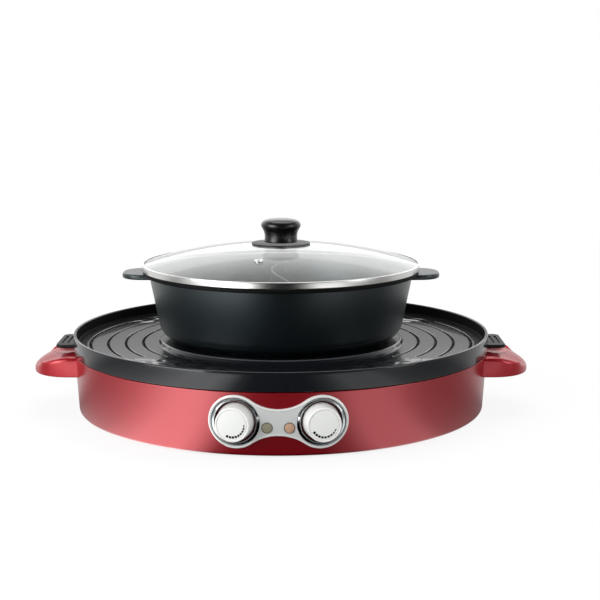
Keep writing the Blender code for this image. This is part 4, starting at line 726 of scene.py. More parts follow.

# %% [markdown]
# ## The dial cups and lenses
# Each dial sits in a chrome cup whose face falls outwards from a bright bead at its inner edge. Its
# floor is the red moulding behind it, painted dark red as shade, so a dark red line shows beside
# the dial. A grey edge holds each lamp's lens.

# %% The dial cups and lenses
CUP_BORE = 0.0199
CUP_FLOOR = -0.003
SHAFT_HOLE = 0.0051
cup_front = PANEL_FRONT - 0.0008
cup_outline = rounded([
    (CUP_BORE, cup_front - 0.0003, 0.0002), (CUP_BORE + 0.0004, cup_front, 0.0002),
    (CUP_BORE + 0.0008, cup_front - 0.0001, 0.0002), (CUP_BORE + 0.001, cup_front - 0.0006, 0.0001),
    (CUP_R, cup_front - 0.0018, 0.0001), (CUP_R, CUP_FLOOR - 0.0016, 0.0003),
    (SHAFT_HOLE, CUP_FLOOR - 0.0016), (SHAFT_HOLE, CUP_FLOOR), (CUP_BORE, CUP_FLOOR, 0.0004)], 5)
floor_outline = rounded([
    (SHAFT_HOLE + GAP, CUP_FLOOR + 0.0003), (CUP_BORE - 0.0002, CUP_FLOOR + 0.0003, 0.0001),
    (CUP_BORE - 0.0002, CUP_FLOOR), (SHAFT_HOLE + GAP, CUP_FLOOR)], 3)
LENS_FACE = LENS_R - 0.0006
lens_front = PANEL_FRONT + 0.0007
dome = np.linspace(0, 1, 12)
lens_outline = np.r_[np.c_[LENS_FACE * dome, lens_front - 0.0007 * dome ** 2],
                     [(LENS_FACE, lens_front - 0.009), (0, lens_front - 0.009)]]
edge_in, edge_out = LENS_FACE + 0.00005, LENS_R + 0.0001
edge_outline = rounded([
    (edge_in, lens_front - 0.0009, 0.0001), (edge_out, lens_front - 0.0011, 0.0002),
    (edge_out, lens_front - 0.005), (edge_in, lens_front - 0.005)], 3)
for label, side in SIDES:
    tint, lens_slot = (olive_lens, "olive_lens") if side < 0 else (amber_lens, "amber_lens")
    for name, outline, segments, places, *look in (
            ("_dial_cup", cup_outline, 128, KNOB_PLACE, chrome_cup, "dark_chrome",
             label + "_bezel"),
            # The cup's floor is painted dark red as shade.
            ("_cup_floor", floor_outline, 96, KNOB_PLACE, shade_painted_red, "red_shell"),
            ("_lens_edge", edge_outline, 64, LENS_PLACE, lens_edge, "silver_plastic"),
            ("_lamp_lens", lens_outline, 64, LENS_PLACE, tint, lens_slot, label + "_lens")):
        dress(turned(label + name, outline, segments, places[label]), "base", *look)

# %% [markdown]
# ## The two dials
# A dial is a short pearl-white cone with a thin disc let into its face. Only a growing row of black
# dashes is printed on the disc, which tells low from high without any words.

# %% Outlines and marks of a dial
DIAL_R = 0.0176
DIAL_FACE_R = 0.0162
DIAL_DEPTH = 0.01495
INLAY = 0.0145
SOCKET_R = 0.0034
MARK_R = 0.0114
MARK_COUNT = 9
MARK_ENDS = {"left": (5, -121), "right": (-20, -154)}
dial_back = CUP_FLOOR + 0.0005
inlay_floor = DIAL_DEPTH - 0.0006
dial_outline = rounded([
    (0, inlay_floor), (INLAY, inlay_floor, 0.0001), (INLAY, DIAL_DEPTH, 0.0005),
    (DIAL_FACE_R, DIAL_DEPTH, 0.0011), (DIAL_R - 0.0001, dial_back + 0.0024, 0.001),
    (DIAL_R, dial_back + 0.0016, 0.0004), (DIAL_R, dial_back, 0.0004), (SOCKET_R, dial_back),
    (SOCKET_R, dial_back + 0.0088), (0, dial_back + 0.0088)], 6)
disc_high, disc_low = DIAL_DEPTH - GAP / 2, inlay_floor + GAP / 2
disc_r = INLAY - 0.0008
disc_outline = rounded([
    (0, disc_high), (disc_r, disc_high, 0.0002), (disc_r, disc_low), (0, disc_low)], 4)


def dial_marks(first, last):
    """Dashes, each a four-cornered section carried along an arc of 0.8 of its step. They grow from
    1 to 2.3 mm thick with the root of the share of the way."""
    edges = np.linspace(first, last, MARK_COUNT + 1)[:-1]
    length = 0.8 * (last - first) / MARK_COUNT
    height = disc_high + 0.00004 * np.array([0, 0, 1, 1])
    blocks = []
    for index, start in enumerate(edges):
        thick = 0.001 + 0.0013 * (index / (MARK_COUNT - 1)) ** 0.5
        angle = np.radians(np.linspace(start, start + length, 9))[:, None]
        radius = MARK_R + thick / 2 * np.array([-1, 1, 1, -1])
        blocks.append(capped(polar(radius, angle, height)))
    return blocks


print("dial: %.1f mm wide, %.2f mm deep" % (2000 * DIAL_R, 1000 * (DIAL_DEPTH - dial_back)))

# %% The two dials
for label, side in SIDES:
    body, place = label + "_control", KNOB_PLACE[label]
    dress(turned(label + "_dial", dial_outline, 144, place), body, pearl_abs, "white_plastic",
          label + "_knob")
    dress(turned(label + "_dial_disc", disc_outline, 128, place), body, dial_disc, "silver_plastic",
          label + "_knob_disc")
    marks = [moved(block, place) for block in dial_marks(*MARK_ENDS[label])]
    dress(skin(label + "_dial_marks", marks), body, dial_ink, "white_plastic")

# %% [markdown]
# ## The grill plate
# One aluminium casting: a tall thin rim, a floor with four arcs on each side and a rippled zone in
# front and behind, and a raised ring that the pot stands in. A closed outline is carried round the
# axis, and the floor's points are then lowered by a depth that depends on where they lie. That way
# grooves and ripples are part of one smooth skin.

# %% The grill plate's outline
HOLE_R = 0.104
RING_R = 0.129
PLATE_WALL = 0.003
SEAT_IN, SEAT_OUT = 0.206, 0.209
SKIRT_LOW = 0.0655
FLOOR_ROUND = 0.0018
GROOVES = 0.147 + 0.0185 * np.arange(4)
GROOVE_TOP = 0.0036
GROOVE_BOTTOM = 0.0002
GROOVE_DEPTH = 0.0022
GROOVE_ENDS = (-0.0915, 0.1015)
GROOVE_FADE = 0.0022
RIPPLE_WAVE = 0.0125
RIPPLE_SWING = 1.5
RIPPLE_TURNS = 38
RIPPLE_HALF = 0.00032
underside = SURFACE - 0.004
ring_top = SURFACE + 0.0037
ring_under = SURFACE - 0.0008
channel = ring_top - 0.0008
lip_r = HOLE_R + 0.0035
edge_at = RING_R - 0.002
inner_rim = RIM_R - PLATE_WALL
floor_from, floor_to = RING_R + 0.0025, inner_rim - FLOOR_ROUND
# The floor's rings are 1.45 mm apart, and closer over each arc.
over_groove = np.array([0.3, 0.6, 0.9, 1.2, 1.5, 1.75, 2.1]) / 1000
over_groove = (GROOVES[:, None] + np.r_[-over_groove, 0, over_groove]).ravel()
floor_r = np.sort(np.r_[floor_from + 0.0006:floor_to - 0.0004:0.00145, over_groove])
floor_r = floor_r[np.r_[True, np.diff(floor_r) > 0.00022]]
outside = rounded([
    (inner_rim, RIM_TOP, 0.001), (RIM_R, RIM_TOP, 0.0012), (SKIRT_R, SKIRT_LOW, 0.0006),
    (inner_rim, SKIRT_LOW, 0.0004), (inner_rim, underside), (SEAT_OUT, underside),
    (SEAT_OUT, PAN_LIP_TOP + GAP, 0.0003), (SEAT_IN, PAN_LIP_TOP + GAP, 0.0003),
    (SEAT_IN, underside), (RING_R, underside), (edge_at - 0.002, ring_under),
    (HOLE_R, ring_under, 0.0003), (HOLE_R, ring_top, 0.0005), (lip_r, ring_top, 0.0004),
    (lip_r + 0.0008, channel, 0.0004), (edge_at - 0.0008, channel, 0.0004),
    (edge_at, ring_top, 0.0004), (RING_R - 0.0012, ring_top, 0.0006),
    (RING_R, ring_top - 0.0008, 0.0006), (floor_from - 0.0008, SURFACE, 0.0008),
    (floor_to, SURFACE), (inner_rim, SURFACE + FLOOR_ROUND)], 4)
turn = np.linspace(0, np.pi / 2, 9)
fillet = np.c_[floor_to + FLOOR_ROUND * np.sin(turn), SURFACE + FLOOR_ROUND * (1 - np.cos(turn))]
wall = np.c_[np.full(6, inner_rim), np.linspace(SURFACE + 0.0035, RIM_TOP - 0.0016, 6)]
plate_outline = np.r_[outside[:-2], np.c_[floor_r, 0 * floor_r + SURFACE], fillet, wall]
print("plate outline points:", len(plate_outline))

# %% The grill plate's skin


def groove_depth(x, y):
    """Depth of the four side arcs: troughs with soft edges and soft ends."""
    offset = np.abs(np.hypot(x, y)[..., None] - GROOVES).min(-1)
    trough = 1 - smoothstep((offset - GROOVE_BOTTOM / 2) / ((GROOVE_TOP - GROOVE_BOTTOM) / 2))
    front, back = GROOVE_ENDS
    ends = smoothstep((y - front) / GROOVE_FADE) * smoothstep((back - y) / GROOVE_FADE)
    return GROOVE_DEPTH * trough * ends


def ripple_depth(x, y):
    """Depth of the rippled zones: waves along the radius whose phase swings round the plate."""
    radius, angle = np.hypot(x, y), np.arctan2(y, x)
    swing = RIPPLE_SWING * np.sin(RIPPLE_TURNS * angle)
    phase = 2 * np.pi * (radius - RING_R) / RIPPLE_WAVE + swing
    zone = smoothstep((np.abs(y + 0.004) - 0.0985) / 0.008)
    ring = smoothstep((radius - 0.1345) / 0.005) * smoothstep((SEAT_IN - radius) / 0.006)
    return RIPPLE_HALF * (1 - np.cos(phase)) * zone * ring


x, y, z = np.moveaxis(turned_grid(plate_outline, 560), -1, 0)
on_floor = (np.abs(z - SURFACE) < 1e-7) & (np.hypot(x, y) > floor_from + 0.0003)
z = z - np.where(on_floor, np.maximum(groove_depth(x, y), ripple_depth(x, y)), 0)
plate = skin("cooking_plate", np.stack([x, y, z], -1), loop_rows=True)
dress(plate, "plate", plate_coating, "black_coating", "grill_plate", sharp=50)
x, y, z = face_middles(plate)
from_axis = np.hypot(x, y)
# Painted shade in the arcs and up the inside of the rim, and a painted dark reflection of the rim
# on the floor beside it.
in_groove = groove_depth(x, y) > 0.2 * GROOVE_DEPTH
in_groove &= (z < SURFACE - 0.0001) & (z > SURFACE - 0.003)
up_rim = (from_axis > inner_rim - 0.0112) & (from_axis < inner_rim + 0.0005)
up_rim &= (z > SURFACE - 0.0002) & (z < RIM_TOP - 0.0012)
recoat(plate, shade_painted_coating, in_groove | up_rim)
# Painted highlight: the edge of the ring turns grey where it shows a thin bright line.
ring_edge = np.abs(from_axis - RING_R + 0.0007) < 0.0009
recoat(plate, painted_highlight_edge, ring_edge & (z > ring_top - 0.0011))

# %% [markdown]
# ## Studs and lifting ears of the plate
# Small studs stand in the arcs, and an ear on each side lifts the plate: a flat plate with rounded
# edges and two finger slots.

# %% Studs and lifting ears of the plate
STUD_R = 0.0019
STUD_SINK = 0.0014
EAR_OUT = SKIRT_R + 0.017
EAR_HALF = 0.031
SLOT_WIDTH = 0.0024
SLOT_LENGTH = 0.04
SLOT_FLOOR = 0.0704
# An ear's bottom and top, the rounding of its edges and the facets in it.
PLATE_EAR = (0.0682, 0.0718, 0.0009, 4)
bell = np.linspace(0, 1, 7)
studs = []
for radius in GROOVES:
    for y, inward, size in ((0.045, 0, STUD_R), (-0.02, 0.0011, 0.0013)):
        for side in (-1, 1):
            x = side * math.sqrt(radius ** 2 - y ** 2)
            pull = 1 - inward / radius
            swell = 0.0011 * (1 - bell ** 2) ** 0.5 * size / STUD_R - 0.0009
            cap = np.r_[np.c_[size * bell, swell], [(size * 0.9, -STUD_SINK), (0, -STUD_SINK)]]
            studs.append(turned_grid(cap, 16, shifted(x * pull, y * pull, SURFACE)))
dress(skin("plate_studs", studs, loop_rows=True), "plate", plate_coating, "black_coating")


def ear_plan(root, outer, half, corner):
    """Plan of an ear: a round root inside the casting and two rounded outer corners."""
    spread = math.asin(half / root)
    angle = np.linspace(spread, -spread, 25)[1:-1]
    inner = root * np.c_[np.cos(angle), np.sin(angle)]
    start = root * math.cos(spread)
    tip = rounded([
        (start, -half), (outer, -half, corner), (outer, half, corner), (start, half)], 12)
    return np.r_[tip, inner]


ear = ear_plan(RIM_R - 0.0015, EAR_OUT, EAR_HALF, 0.007)
for label, side in SIDES:
    place = half_turn(side)
    thing = slab(label + "_plate_ear", ear, *PLATE_EAR, place=place)
    slots = [slab("slot", box_plan(SLOT_WIDTH, SLOT_LENGTH, 0.0008, SKIRT_R + out, 0, 4),
                  SLOT_FLOOR, 0.075, place=place) for out in (0.0055, 0.0113)]
    cut(thing, *slots, solver="FAST")
    # The ears' coating is painted darker as shade.
    dress(thing, "plate", ear_coating, "black_coating", sharp=40)

# %% [markdown]
# ## The hot pot
# A deep casting whose wall leans out to a flange is turned from one outline. Its ears are flat
# plates with round corners, and the divider is a thin wall carried along a gentle S.

# %% The hot pot
FLANGE_R = 0.146
POT_CORNER = 0.0165
POT_EAR = (0.1401, 0.1456, 0.0018, 5)
POT_EAR_OUT = 0.1682
POT_EAR_HALF = 0.028
POT_EAR_CORNER = 0.0225
flange_low = FLANGE_TOP - FLANGE_THICK
floor_top = POT_BOTTOM + 0.004
pot_outline = rounded([
    (0, floor_top), (pot_r(floor_top) - POT_WALL, floor_top, 0.013),
    (MOUTH_R - POT_WALL + LEAN * FLANGE_THICK, FLANGE_TOP, 0.0008), (FLANGE_R, FLANGE_TOP, 0.0012),
    (FLANGE_R, flange_low, 0.001), (MOUTH_R, flange_low, 0.0014),
    (pot_r(POT_BOTTOM), POT_BOTTOM, POT_CORNER), (0, POT_BOTTOM)], 10)
pot = turned("pot_casting", pot_outline, 320)
dress(pot, "pot", pot_coating, "black_coating", "hot_pot")
x, y, z = face_middles(pot)
# Painted shade: the flange's rolled edge in the band's shade turns near-black.
on_flange = (np.hypot(x, y) > MOUTH_R + 0.0004) & (z > flange_low - 0.0016) & (z < FLANGE_TOP)
recoat(pot, shade_painted_coating, on_flange)
ear = ear_plan(pot_r(POT_EAR[0]) - 0.0016, POT_EAR_OUT, POT_EAR_HALF, POT_EAR_CORNER)
for label, side in SIDES:
    thing = slab(label + "_pot_ear", ear, *POT_EAR, place=half_turn(side))
    dress(thing, "pot", pot_coating, "black_coating")

# %% The S-shaped divider
DIVIDER_TOP = 0.139
DIVIDER_HALF = 0.0015
DIVIDER_BULGE = 0.011
DIVIDER_WAVE = 2 * np.pi / 0.264


def divider_sections():
    """Sections along a line x = -11 mm times sin(wave y), with the thickness added square to it, as
    far as the inside of the pot's wall and lower corner."""
    share = np.linspace(-1, 1, 121)[:, None]
    turn = np.linspace(0, np.pi, 9)
    shoulder = DIVIDER_TOP - DIVIDER_HALF
    rise = np.linspace(POT_BOTTOM + 0.002, shoulder, 8)[:-1]
    height = np.r_[rise, shoulder + DIVIDER_HALF * np.sin(turn), rise[::-1]]
    offset = DIVIDER_HALF * np.r_[np.ones(7), np.cos(turn), -np.ones(7)]
    drop = np.clip(1 - (height - POT_BOTTOM) / POT_CORNER, 0, 1)
    reach = pot_r(height) - POT_WALL / 2 - POT_CORNER * (1 - np.sqrt(1 - drop ** 2))
    run = share * reach
    centre = -DIVIDER_BULGE * np.sin(DIVIDER_WAVE * run)
    slope = -DIVIDER_BULGE * DIVIDER_WAVE * np.cos(DIVIDER_WAVE * run)
    length = np.sqrt(1 + slope ** 2)
    return np.stack([centre + offset / length, run - offset * slope / length, height + 0 * run], -1)


dress(skin("pot_divider", capped(divider_sections())), "pot", pot_coating, "black_coating")

# %% [markdown]
# ## The glass lid
# A cap of a sphere is held in a folded steel band. It has a real inner and outer face, so that it
# bends light as four millimetres of glass do.

# %% The glass lid
VENT_R = 0.088
VENT_TURN = math.radians(-104)
radii = np.linspace(LID_R - BAND - GAP, 0.0034, 40)
outer, inner = np.c_[radii, glass_z(radii)], np.c_[radii, glass_z(radii, GLASS)]
glass = turned("lid_dome", np.r_[outer, inner[::-1]], 256)
flat = polar(1, VENT_TURN, 0)
upward = flat * VENT_R / GLASS_SPHERE
upward[2] = math.sqrt(1 - upward @ upward)
sideways = unit(np.cross(upward, [0, 0, 1]))
VENT_PLACE = placed(sideways, np.cross(upward, sideways), upward,
                    flat * VENT_R + [0, 0, glass_z(VENT_R)])
cut(glass, drum("vent_bore", 0.003, -0.006, 0.002, VENT_PLACE, 48))
dress(glass, "lid", lid_glass, "lid_glass", "lid_glass", sharp=50)

# %% The steel band, the vent and the knob's collar
COLLAR_R = 0.0312
lip_in, band_edge = LID_R - 0.0016, LID_R - BAND
lip_low, edge_low = glass_z(lip_in) + GAP, glass_z(band_edge) + GAP
band_outline = rounded([
    (lip_in, lip_low + BAND, 0.00028), (LID_R, edge_low + BAND, 0.0007),
    (LID_R, FLANGE_TOP + GAP, 0.0012), (lip_in, FLANGE_TOP + GAP, 0.0003),
    (lip_in, glass_z(lip_in, GLASS) - GAP), (band_edge, glass_z(band_edge, GLASS) - GAP),
    (band_edge, edge_low), (lip_in, lip_low, 0.00028)], 6)
dress(turned("lid_rim", band_outline, 320), "lid", band_steel, "polished_steel", "lid_band")
disc_z, disc_low, disc_thick = GLASS_APEX + GAP, glass_z(COLLAR_R) + 0.0006, 0.0009
collar_outline = rounded([
    (0.0034, disc_z + disc_thick), (0.0185, disc_z + disc_thick, 0.004),
    (COLLAR_R, disc_low + disc_thick, 0.0004), (COLLAR_R, disc_low, 0.0002),
    (0.0176, disc_z, 0.003), (0.0034, disc_z)], 6)
# The collar's steel is painted dark as a dark reflection.
dress(turned("knob_collar", collar_outline, 128), "lid", dark_reflection_steel, "polished_steel",
      "lid_knob_disc")
eyelet_outline = rounded([
    (0.0017, GAP + BAND, 0.0003), (0.0046, GAP + BAND, 0.0004), (0.0046, GAP), (0.0027, GAP),
    (0.0027, -GLASS - BAND), (0.0017, -GLASS - BAND)], 4)
dress(turned("vent_ring", eyelet_outline, 48, VENT_PLACE), "lid", stainless, "polished_steel",
      "vent_eyelet")

# %% The lid's knob, screw and washer
HEAD = 0.0211
foot = disc_z + disc_thick + GAP
crown = foot + 0.025
knob_side = flowing([
    (0, crown), (0.3 * HEAD, crown - 0.00022), (0.6 * HEAD, crown - 0.0009),
    (0.84 * HEAD, crown - 0.0024), (0.955 * HEAD, crown - 0.0044), (HEAD, crown - 0.007),
    (0.968 * HEAD, crown - 0.0094), (0.875 * HEAD, crown - 0.013), (0.823 * HEAD, crown - 0.017),
    (0.0172, foot + 0.0045), (0.0176, foot + 0.0008)], 7)
socket = [(0.0172, foot), (0.0029, foot), (0.0029, foot + 0.014), (0, foot + 0.014)]
grip = turned("lid_grip", np.r_[knob_side, socket], 160)
dress(grip, "lid", bakelite, "black_plastic", "lid_knob", sharp=45)
washer_top = glass_z(0.01, GLASS) - GAP
washer_low = washer_top - 0.0014
washer_outline = rounded([(0.0034, washer_top), (0.01, washer_top, 0.0004),
                          (0.01, washer_low, 0.0004), (0.0034, washer_low)], 4)
dress(turned("grip_washer", washer_outline, 64), "lid", silicone, "silicone", "lid_washer")
head_top = washer_low - GAP
head_low = head_top - 0.0026
screw_outline = rounded([
    (0, foot + 0.0137), (0.0025, foot + 0.0137, 0.0006), (0.0025, head_top),
    (0.006, head_top, 0.0004), (0.006, head_low, 0.0013), (0, head_low)], 5)
screw = turned("grip_screw", screw_outline, 48)
cut(screw, *(slab("cross", box_plan(*size, 0.0001), head_low - 0.001, head_low + 0.0012)
             for size in ((0.0048, 0.0009), (0.0009, 0.0048))))
dress(screw, "lid", stainless, "polished_steel", "lid_screw")
# The glass round the knob shows the pale sheet behind it and not the knob upside down.
grip.visible_glossy = screw.visible_glossy = False

# %% [markdown]
# ## Heating pieces
# A pressed steel pan, one bent heating tube and a cast hotplate with fine turning rings show once
# the plate is lifted.

# %% The pan, the collar and the hotplate
HEATER_R = 0.172
TAILS = np.radians([96, 444])
RIB_R = 0.066
RINGS_IN, RINGS_OUT = 0.0185, 0.0962
RING_STEP = 0.00208
RING_DEPTH = 0.00012
SHEET = 0.0008
COLLAR_IN = 0.0915
lip_r = HOUSING_TOP_R - HOUSING_WALL - 2 * GAP
slope_top = lip_r - 0.0115
slope_foot = slope_top - 0.004
pan_outline = rounded([
    (0, PAN_FLOOR), (slope_foot - SHEET, PAN_FLOOR, 0.003),
    (slope_top - SHEET, PAN_LIP_TOP, 0.0015), (lip_r, PAN_LIP_TOP, 0.0003),
    (lip_r, PAN_LIP_TOP - SHEET, 0.0003), (slope_top, PAN_LIP_TOP - SHEET, 0.0015),
    (slope_foot, PAN_FLOOR - SHEET, 0.003), (0, PAN_FLOOR - SHEET)], 6)
pin_places = [shifted(*polar(RIB_R, angle, 0)) for angle in np.radians([83, 97])]
lead_places = [shifted(*polar(HEATER_R, angle, 0)) for angle in TAILS]
holes = [turned_grid([(0, 0.058), (0.0046, 0.058), (0.0046, 0.05), (0, 0.05)], 32, place)
         for place in lead_places + pin_places]
pan = cut(turned("drip_pan", pan_outline, 256), skin("lead_holes", holes, loop_rows=True))
dress(pan, "base", sheet_steel, "sheet_steel", "reflector_pan")
collar_low, collar_high = PAN_FLOOR + GAP, 0.0712 - GAP
collar = rounded([
    (COLLAR_IN - 0.0012, collar_high, 0.0003), (COLLAR_IN, collar_high, 0.0003),
    (COLLAR_IN, collar_low + 0.0012, 0.0012), (COLLAR_IN + 0.009, collar_low + 0.0012, 0.0003),
    (COLLAR_IN + 0.009, collar_low, 0.0002), (COLLAR_IN - 0.0012, collar_low, 0.0014)], 5)
dress(turned("heater_collar", collar, 192), "base", sheet_steel, "sheet_steel", "hotplate_collar")
hot_top = POT_BOTTOM - GAP
hot_low = hot_top - 0.0065
rib_low = hot_low - 0.0065
rings = np.linspace(RINGS_IN, RINGS_OUT, 150)
ring_z = hot_top - RING_DEPTH * (0.5 - 0.5 * np.cos(2 * np.pi * rings / RING_STEP))
hot_outline = np.r_[
    [(0, hot_top - 0.0012), (0.0166, hot_top - 0.0012), (0.0172, hot_top - 0.0009)],
    np.c_[rings, ring_z],
    rounded([(RINGS_OUT, hot_top), (0.098, hot_top, 0.0015), (0.098, hot_low, 0.0008),
             (RIB_R + 0.0055, hot_low), (RIB_R + 0.0028, rib_low, 0.0012),
             (RIB_R - 0.0028, rib_low, 0.0012), (RIB_R - 0.0055, hot_low), (0, hot_low)], 5)[1:]]
dress(turned("pot_heater_plate", hot_outline, 192), "base", turned_aluminium, "cast_aluminium",
      "pot_hotplate")
pin = rounded([(0, hot_low - 0.004), (0.0028, hot_low - 0.004), (0.0028, rib_low - 0.016, 0.0008),
               (0, rib_low - 0.016)], 4)
pins = [turned_grid(pin, 24, place) for place in pin_places]
dress(skin("hotplate_pins", pins, loop_rows=True), "base", sheet_steel, "cast_aluminium")

# %% The bent heating tube
TUBE_R = 0.0033
BEND = 0.006
TRIM = 3
heater_z = SURFACE - 0.004 - 0.0028 - TUBE_R


def tube_grid(path, radius, sides=20):
    """A round section carried along a path. Across it, one direction points away from the axis as
    far as the path allows, and the other is square to both."""
    step = unit(np.gradient(path, axis=0))
    outward = path * np.array([1, 1, 0])
    outward = unit(outward - step * (outward * step).sum(1, keepdims=True))[:, None]
    other = np.cross(step, outward[:, 0])[:, None]
    angle = np.linspace(0, 2 * np.pi, sides, endpoint=False)[None, :, None]
    return path[:, None] + radius * (outward * np.cos(angle) + other * np.sin(angle))


def tail(corner, inner_point):
    """A quarter bend from the ring and then straight down."""
    run = BEND * unit(corner - inner_point)
    rise = np.array([0, 0, BEND])
    turn = np.linspace(np.pi / 2, 0, 9)[:, None]
    bend = corner - run - rise + run * np.cos(turn) + rise * np.sin(turn)
    down = np.repeat(corner[None], 5, 0)
    down[:, 2] = np.linspace(heater_z - BEND, PAN_FLOOR - 0.016, 6)[1:]
    return np.r_[bend, down]


ring = polar(HEATER_R, np.linspace(*TAILS, 361), heater_z)
path = np.r_[tail(ring[0], ring[1])[::-1], ring[TRIM:-TRIM], tail(ring[-1], ring[-2])]
element = skin("grill_element", capped(tube_grid(path, TUBE_R)))
dress(element, "base", heater_sheath, "heater_sheath", "grill_heater")

# %% [markdown]
# ## Underside and back
# A vented steel cover closes the base, four rubber feet snap into it and the power inlet sits at
# the back. They show when the appliance is turned, so they get the same care.

# %% The bottom cover and the feet
VENTS = 12
VENT_LENGTH = 0.048
VENT_WIDTH = 0.0036
VENT_OUT = 0.135
FOOT_OUT = 0.185
slot = box_plan(VENT_LENGTH, VENT_WIDTH, 0.0012, VENT_OUT, 0, 4)
vents = []
for index in range(VENTS):
    turn = 2 * math.pi * (index + 0.5) / VENTS
    spun = placed(polar(1, turn, 0), polar(1, turn + math.pi / 2, 0), (0, 0, 1), (0, 0, 0))
    vents.append(slab_grid(slot, COVER_LOW - 0.002, COVER_HIGH + 0.002, place=spun))
cover = cut(drum("base_cover", COVER_R, COVER_LOW, COVER_HIGH, segments=256), skin("vents", vents))
dress(cover, "base", coated_sheet, "coated_steel", "bottom_cover")
NECK_R, PAD_R = 0.0032, 0.009
foot_outline = rounded([
    (0, COVER_HIGH + 0.0035), (NECK_R, COVER_HIGH + 0.0035, 0.0006),
    (0.0048, COVER_HIGH + GAP, 0.0003), (NECK_R, COVER_HIGH + GAP), (NECK_R, COVER_LOW - GAP),
    (PAD_R, COVER_LOW - GAP, 0.0006), (PAD_R, 0, 0.0005), (0.0066, 0, 0.0002),
    (0.0062, 0.0005, 0.0002), (0, 0.0005)], 4)
for number in (1, 2, 3, 4):
    spot = shifted(*polar(FOOT_OUT, math.pi / 2 * (number + 0.5), 0))
    dress(turned("rubber_foot_%d" % number, foot_outline, 64, spot), "base", rubber, "foot_rubber",
          "foot_%d" % number)

# %% The power inlet
inlet_front = GAP + 0.0022
well_plan = box_plan(INLET_W - 0.0044, INLET_H - 0.0044, 0.0015)
flange_plan = box_plan(INLET_W + 0.009, INLET_H + 0.009, 0.003)
shell_plan = box_plan(INLET_W, INLET_H, 0.003)
flange = slab("inlet_housing", flange_plan, GAP, inlet_front, 0.0007, 4, place=INLET_PLACE)
shell = slab("inlet_shell", shell_plan, inlet_front - 0.024, GAP + 0.0006, 0.0004, 3,
             place=INLET_PLACE)
for thing, nodes in ((flange, ["power_inlet"]), (shell, [])):
    cut(thing, slab("well", well_plan, inlet_front - 0.017, inlet_front + 0.002, place=INLET_PLACE))
    dress(thing, "base", black_pbt, "black_plastic", *nodes)
prongs = [slab_grid(box_plan(0.002, 0.004, 0.0005, x, y, 3), inlet_front - 0.0185,
                    inlet_front - 0.007, 0.0005, 3, INLET_PLACE)
          for x, y in ((-0.007, -0.002), (0.007, -0.002), (0, 0.002))]
dress(skin("inlet_pins", prongs), "base", stainless, "black_plastic")

# %% Better materials for the CAD nodes that stay
kept = {"thermostat": phenolic, "thermal_cutout": phenolic, "terminal_block": white_nylon,
        "shaft": sheet_steel, "heater_clip": sheet_steel, "lamp": lamp_glass}
for name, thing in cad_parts.items():
    for key, material in kept.items():
        if key in name and not thing.hide_render:
            thing.data.materials.clear()
            thing.data.materials.append(material)
            print("kept", name)

# %% [markdown]
# ## Floor, light and camera
# A white sweep behind and three soft lights give the long highlights on the red wall and the pale
# sheen on the plate. The camera's side stays dark, as in a studio, so the front of the pot and of
# the red wall keep their deep colours. The background is white because the floor and the world
# are.

# %% What shiny surfaces see of the studio
FILL_LEVEL = 0.58
# Levels at azimuths in degrees: 0 is the side of the camera and -90 the left. A lit card lies at
# the left and a dimmer one at the right; in front nothing is lit, and behind all is white.
FLOOR_LEVELS = (
    (-180, 1.1), (-150, 0.9), (-125, 0.85), (-103, 0.78), (-95, 0.42), (-88, 0.29), (-80, 0.42),
    (-70, 0.68), (-60, 1.05), (-50, 1.85), (-42, 2.65), (-28, 2.8), (-23, 1.95), (-17, 0.3),
    (-12, 0), (12, 0), (20, 0.35), (28, 1.25), (44, 1.2), (52, 0.62), (60, 0.42),
    (74, 0.26), (88, 0.27), (100, 0.58), (125, 0.75), (150, 0.8), (180, 1.1))
ROOM_SHARES = (
    (-180, 1), (-140, 1), (-120, 0.8), (-100, 0.6), (-60, 0.5), (-35, 0.05), (-20, 0),
    (20, 0), (40, 0.05), (60, 0.35), (100, 0.5), (120, 0.75), (140, 1), (180, 1))
# Levels at the sine of the elevation: the white sweep is brightest where it curves up.
ROOM_LEVELS = (
    (0, 0.9), (0.1, 0.7), (0.13, 0.42), (0.22, 0.42), (0.27, 0.8), (0.3, 1.8), (0.4, 1.9),
    (0.43, 1.5), (0.47, 1.35), (0.61, 0.66), (0.7, 0.34), (0.87, 0.12), (1, 0.12))
# Shares by distance: under the base the floor shows only the light that gets there.
BACKDROP_SHARES = ((0.196, 0), (0.204, 0.9), (0.5, 0.9), (1.6, 1))


def empty_tree(owner):
    """The cleared node tree of a material or a world."""
    owner.use_nodes = True
    owner.node_tree.nodes.clear()
    return owner.node_tree


def curve(tree, value, stops):
    """Levels at given places along a value, with straight runs between them."""
    low, high = stops[0][0], stops[-1][0]
    top = max(level for place, level in stops)
    share = node(tree, "MapRange", {"Value": value, "From Min": low, "From Max": high})
    ramp = node(tree, "ValToRGB", {"Fac": share})
    marks = ramp.color_ramp.elements
    for place, level in stops:
        ends = {low: marks[0], high: marks[-1]}
        mark = ends[place] if place in ends else marks.new((place - low) / (high - low))
        mark.color = (*[level / top] * 3, 1)
    return node(tree, "Math", {0: ramp, 1: top}, operation="MULTIPLY")


def azimuth_of(tree, parts):
    """Azimuth of a direction in degrees: the arc tangent of x over -y."""
    back = node(tree, "Math", {0: parts.outputs["Y"], 1: -1}, operation="MULTIPLY")
    turn = node(tree, "Math", {0: parts.outputs["X"], 1: back}, operation="ARCTAN2")
    return node(tree, "Math", {0: turn}, operation="DEGREES")


def ray_kinds(tree):
    """1 for rays that should meet plain white, the camera's and those through glass, and 1 for
    reflections."""
    rays = node(tree, "LightPath").outputs
    direct = {0: rays["Is Camera Ray"], 1: rays["Is Transmission Ray"]}
    return node(tree, "Math", direct, operation="MAXIMUM"), rays["Is Glossy Ray"]


print("brightest level on the floor:", max(level for azimuth, level in FLOOR_LEVELS))

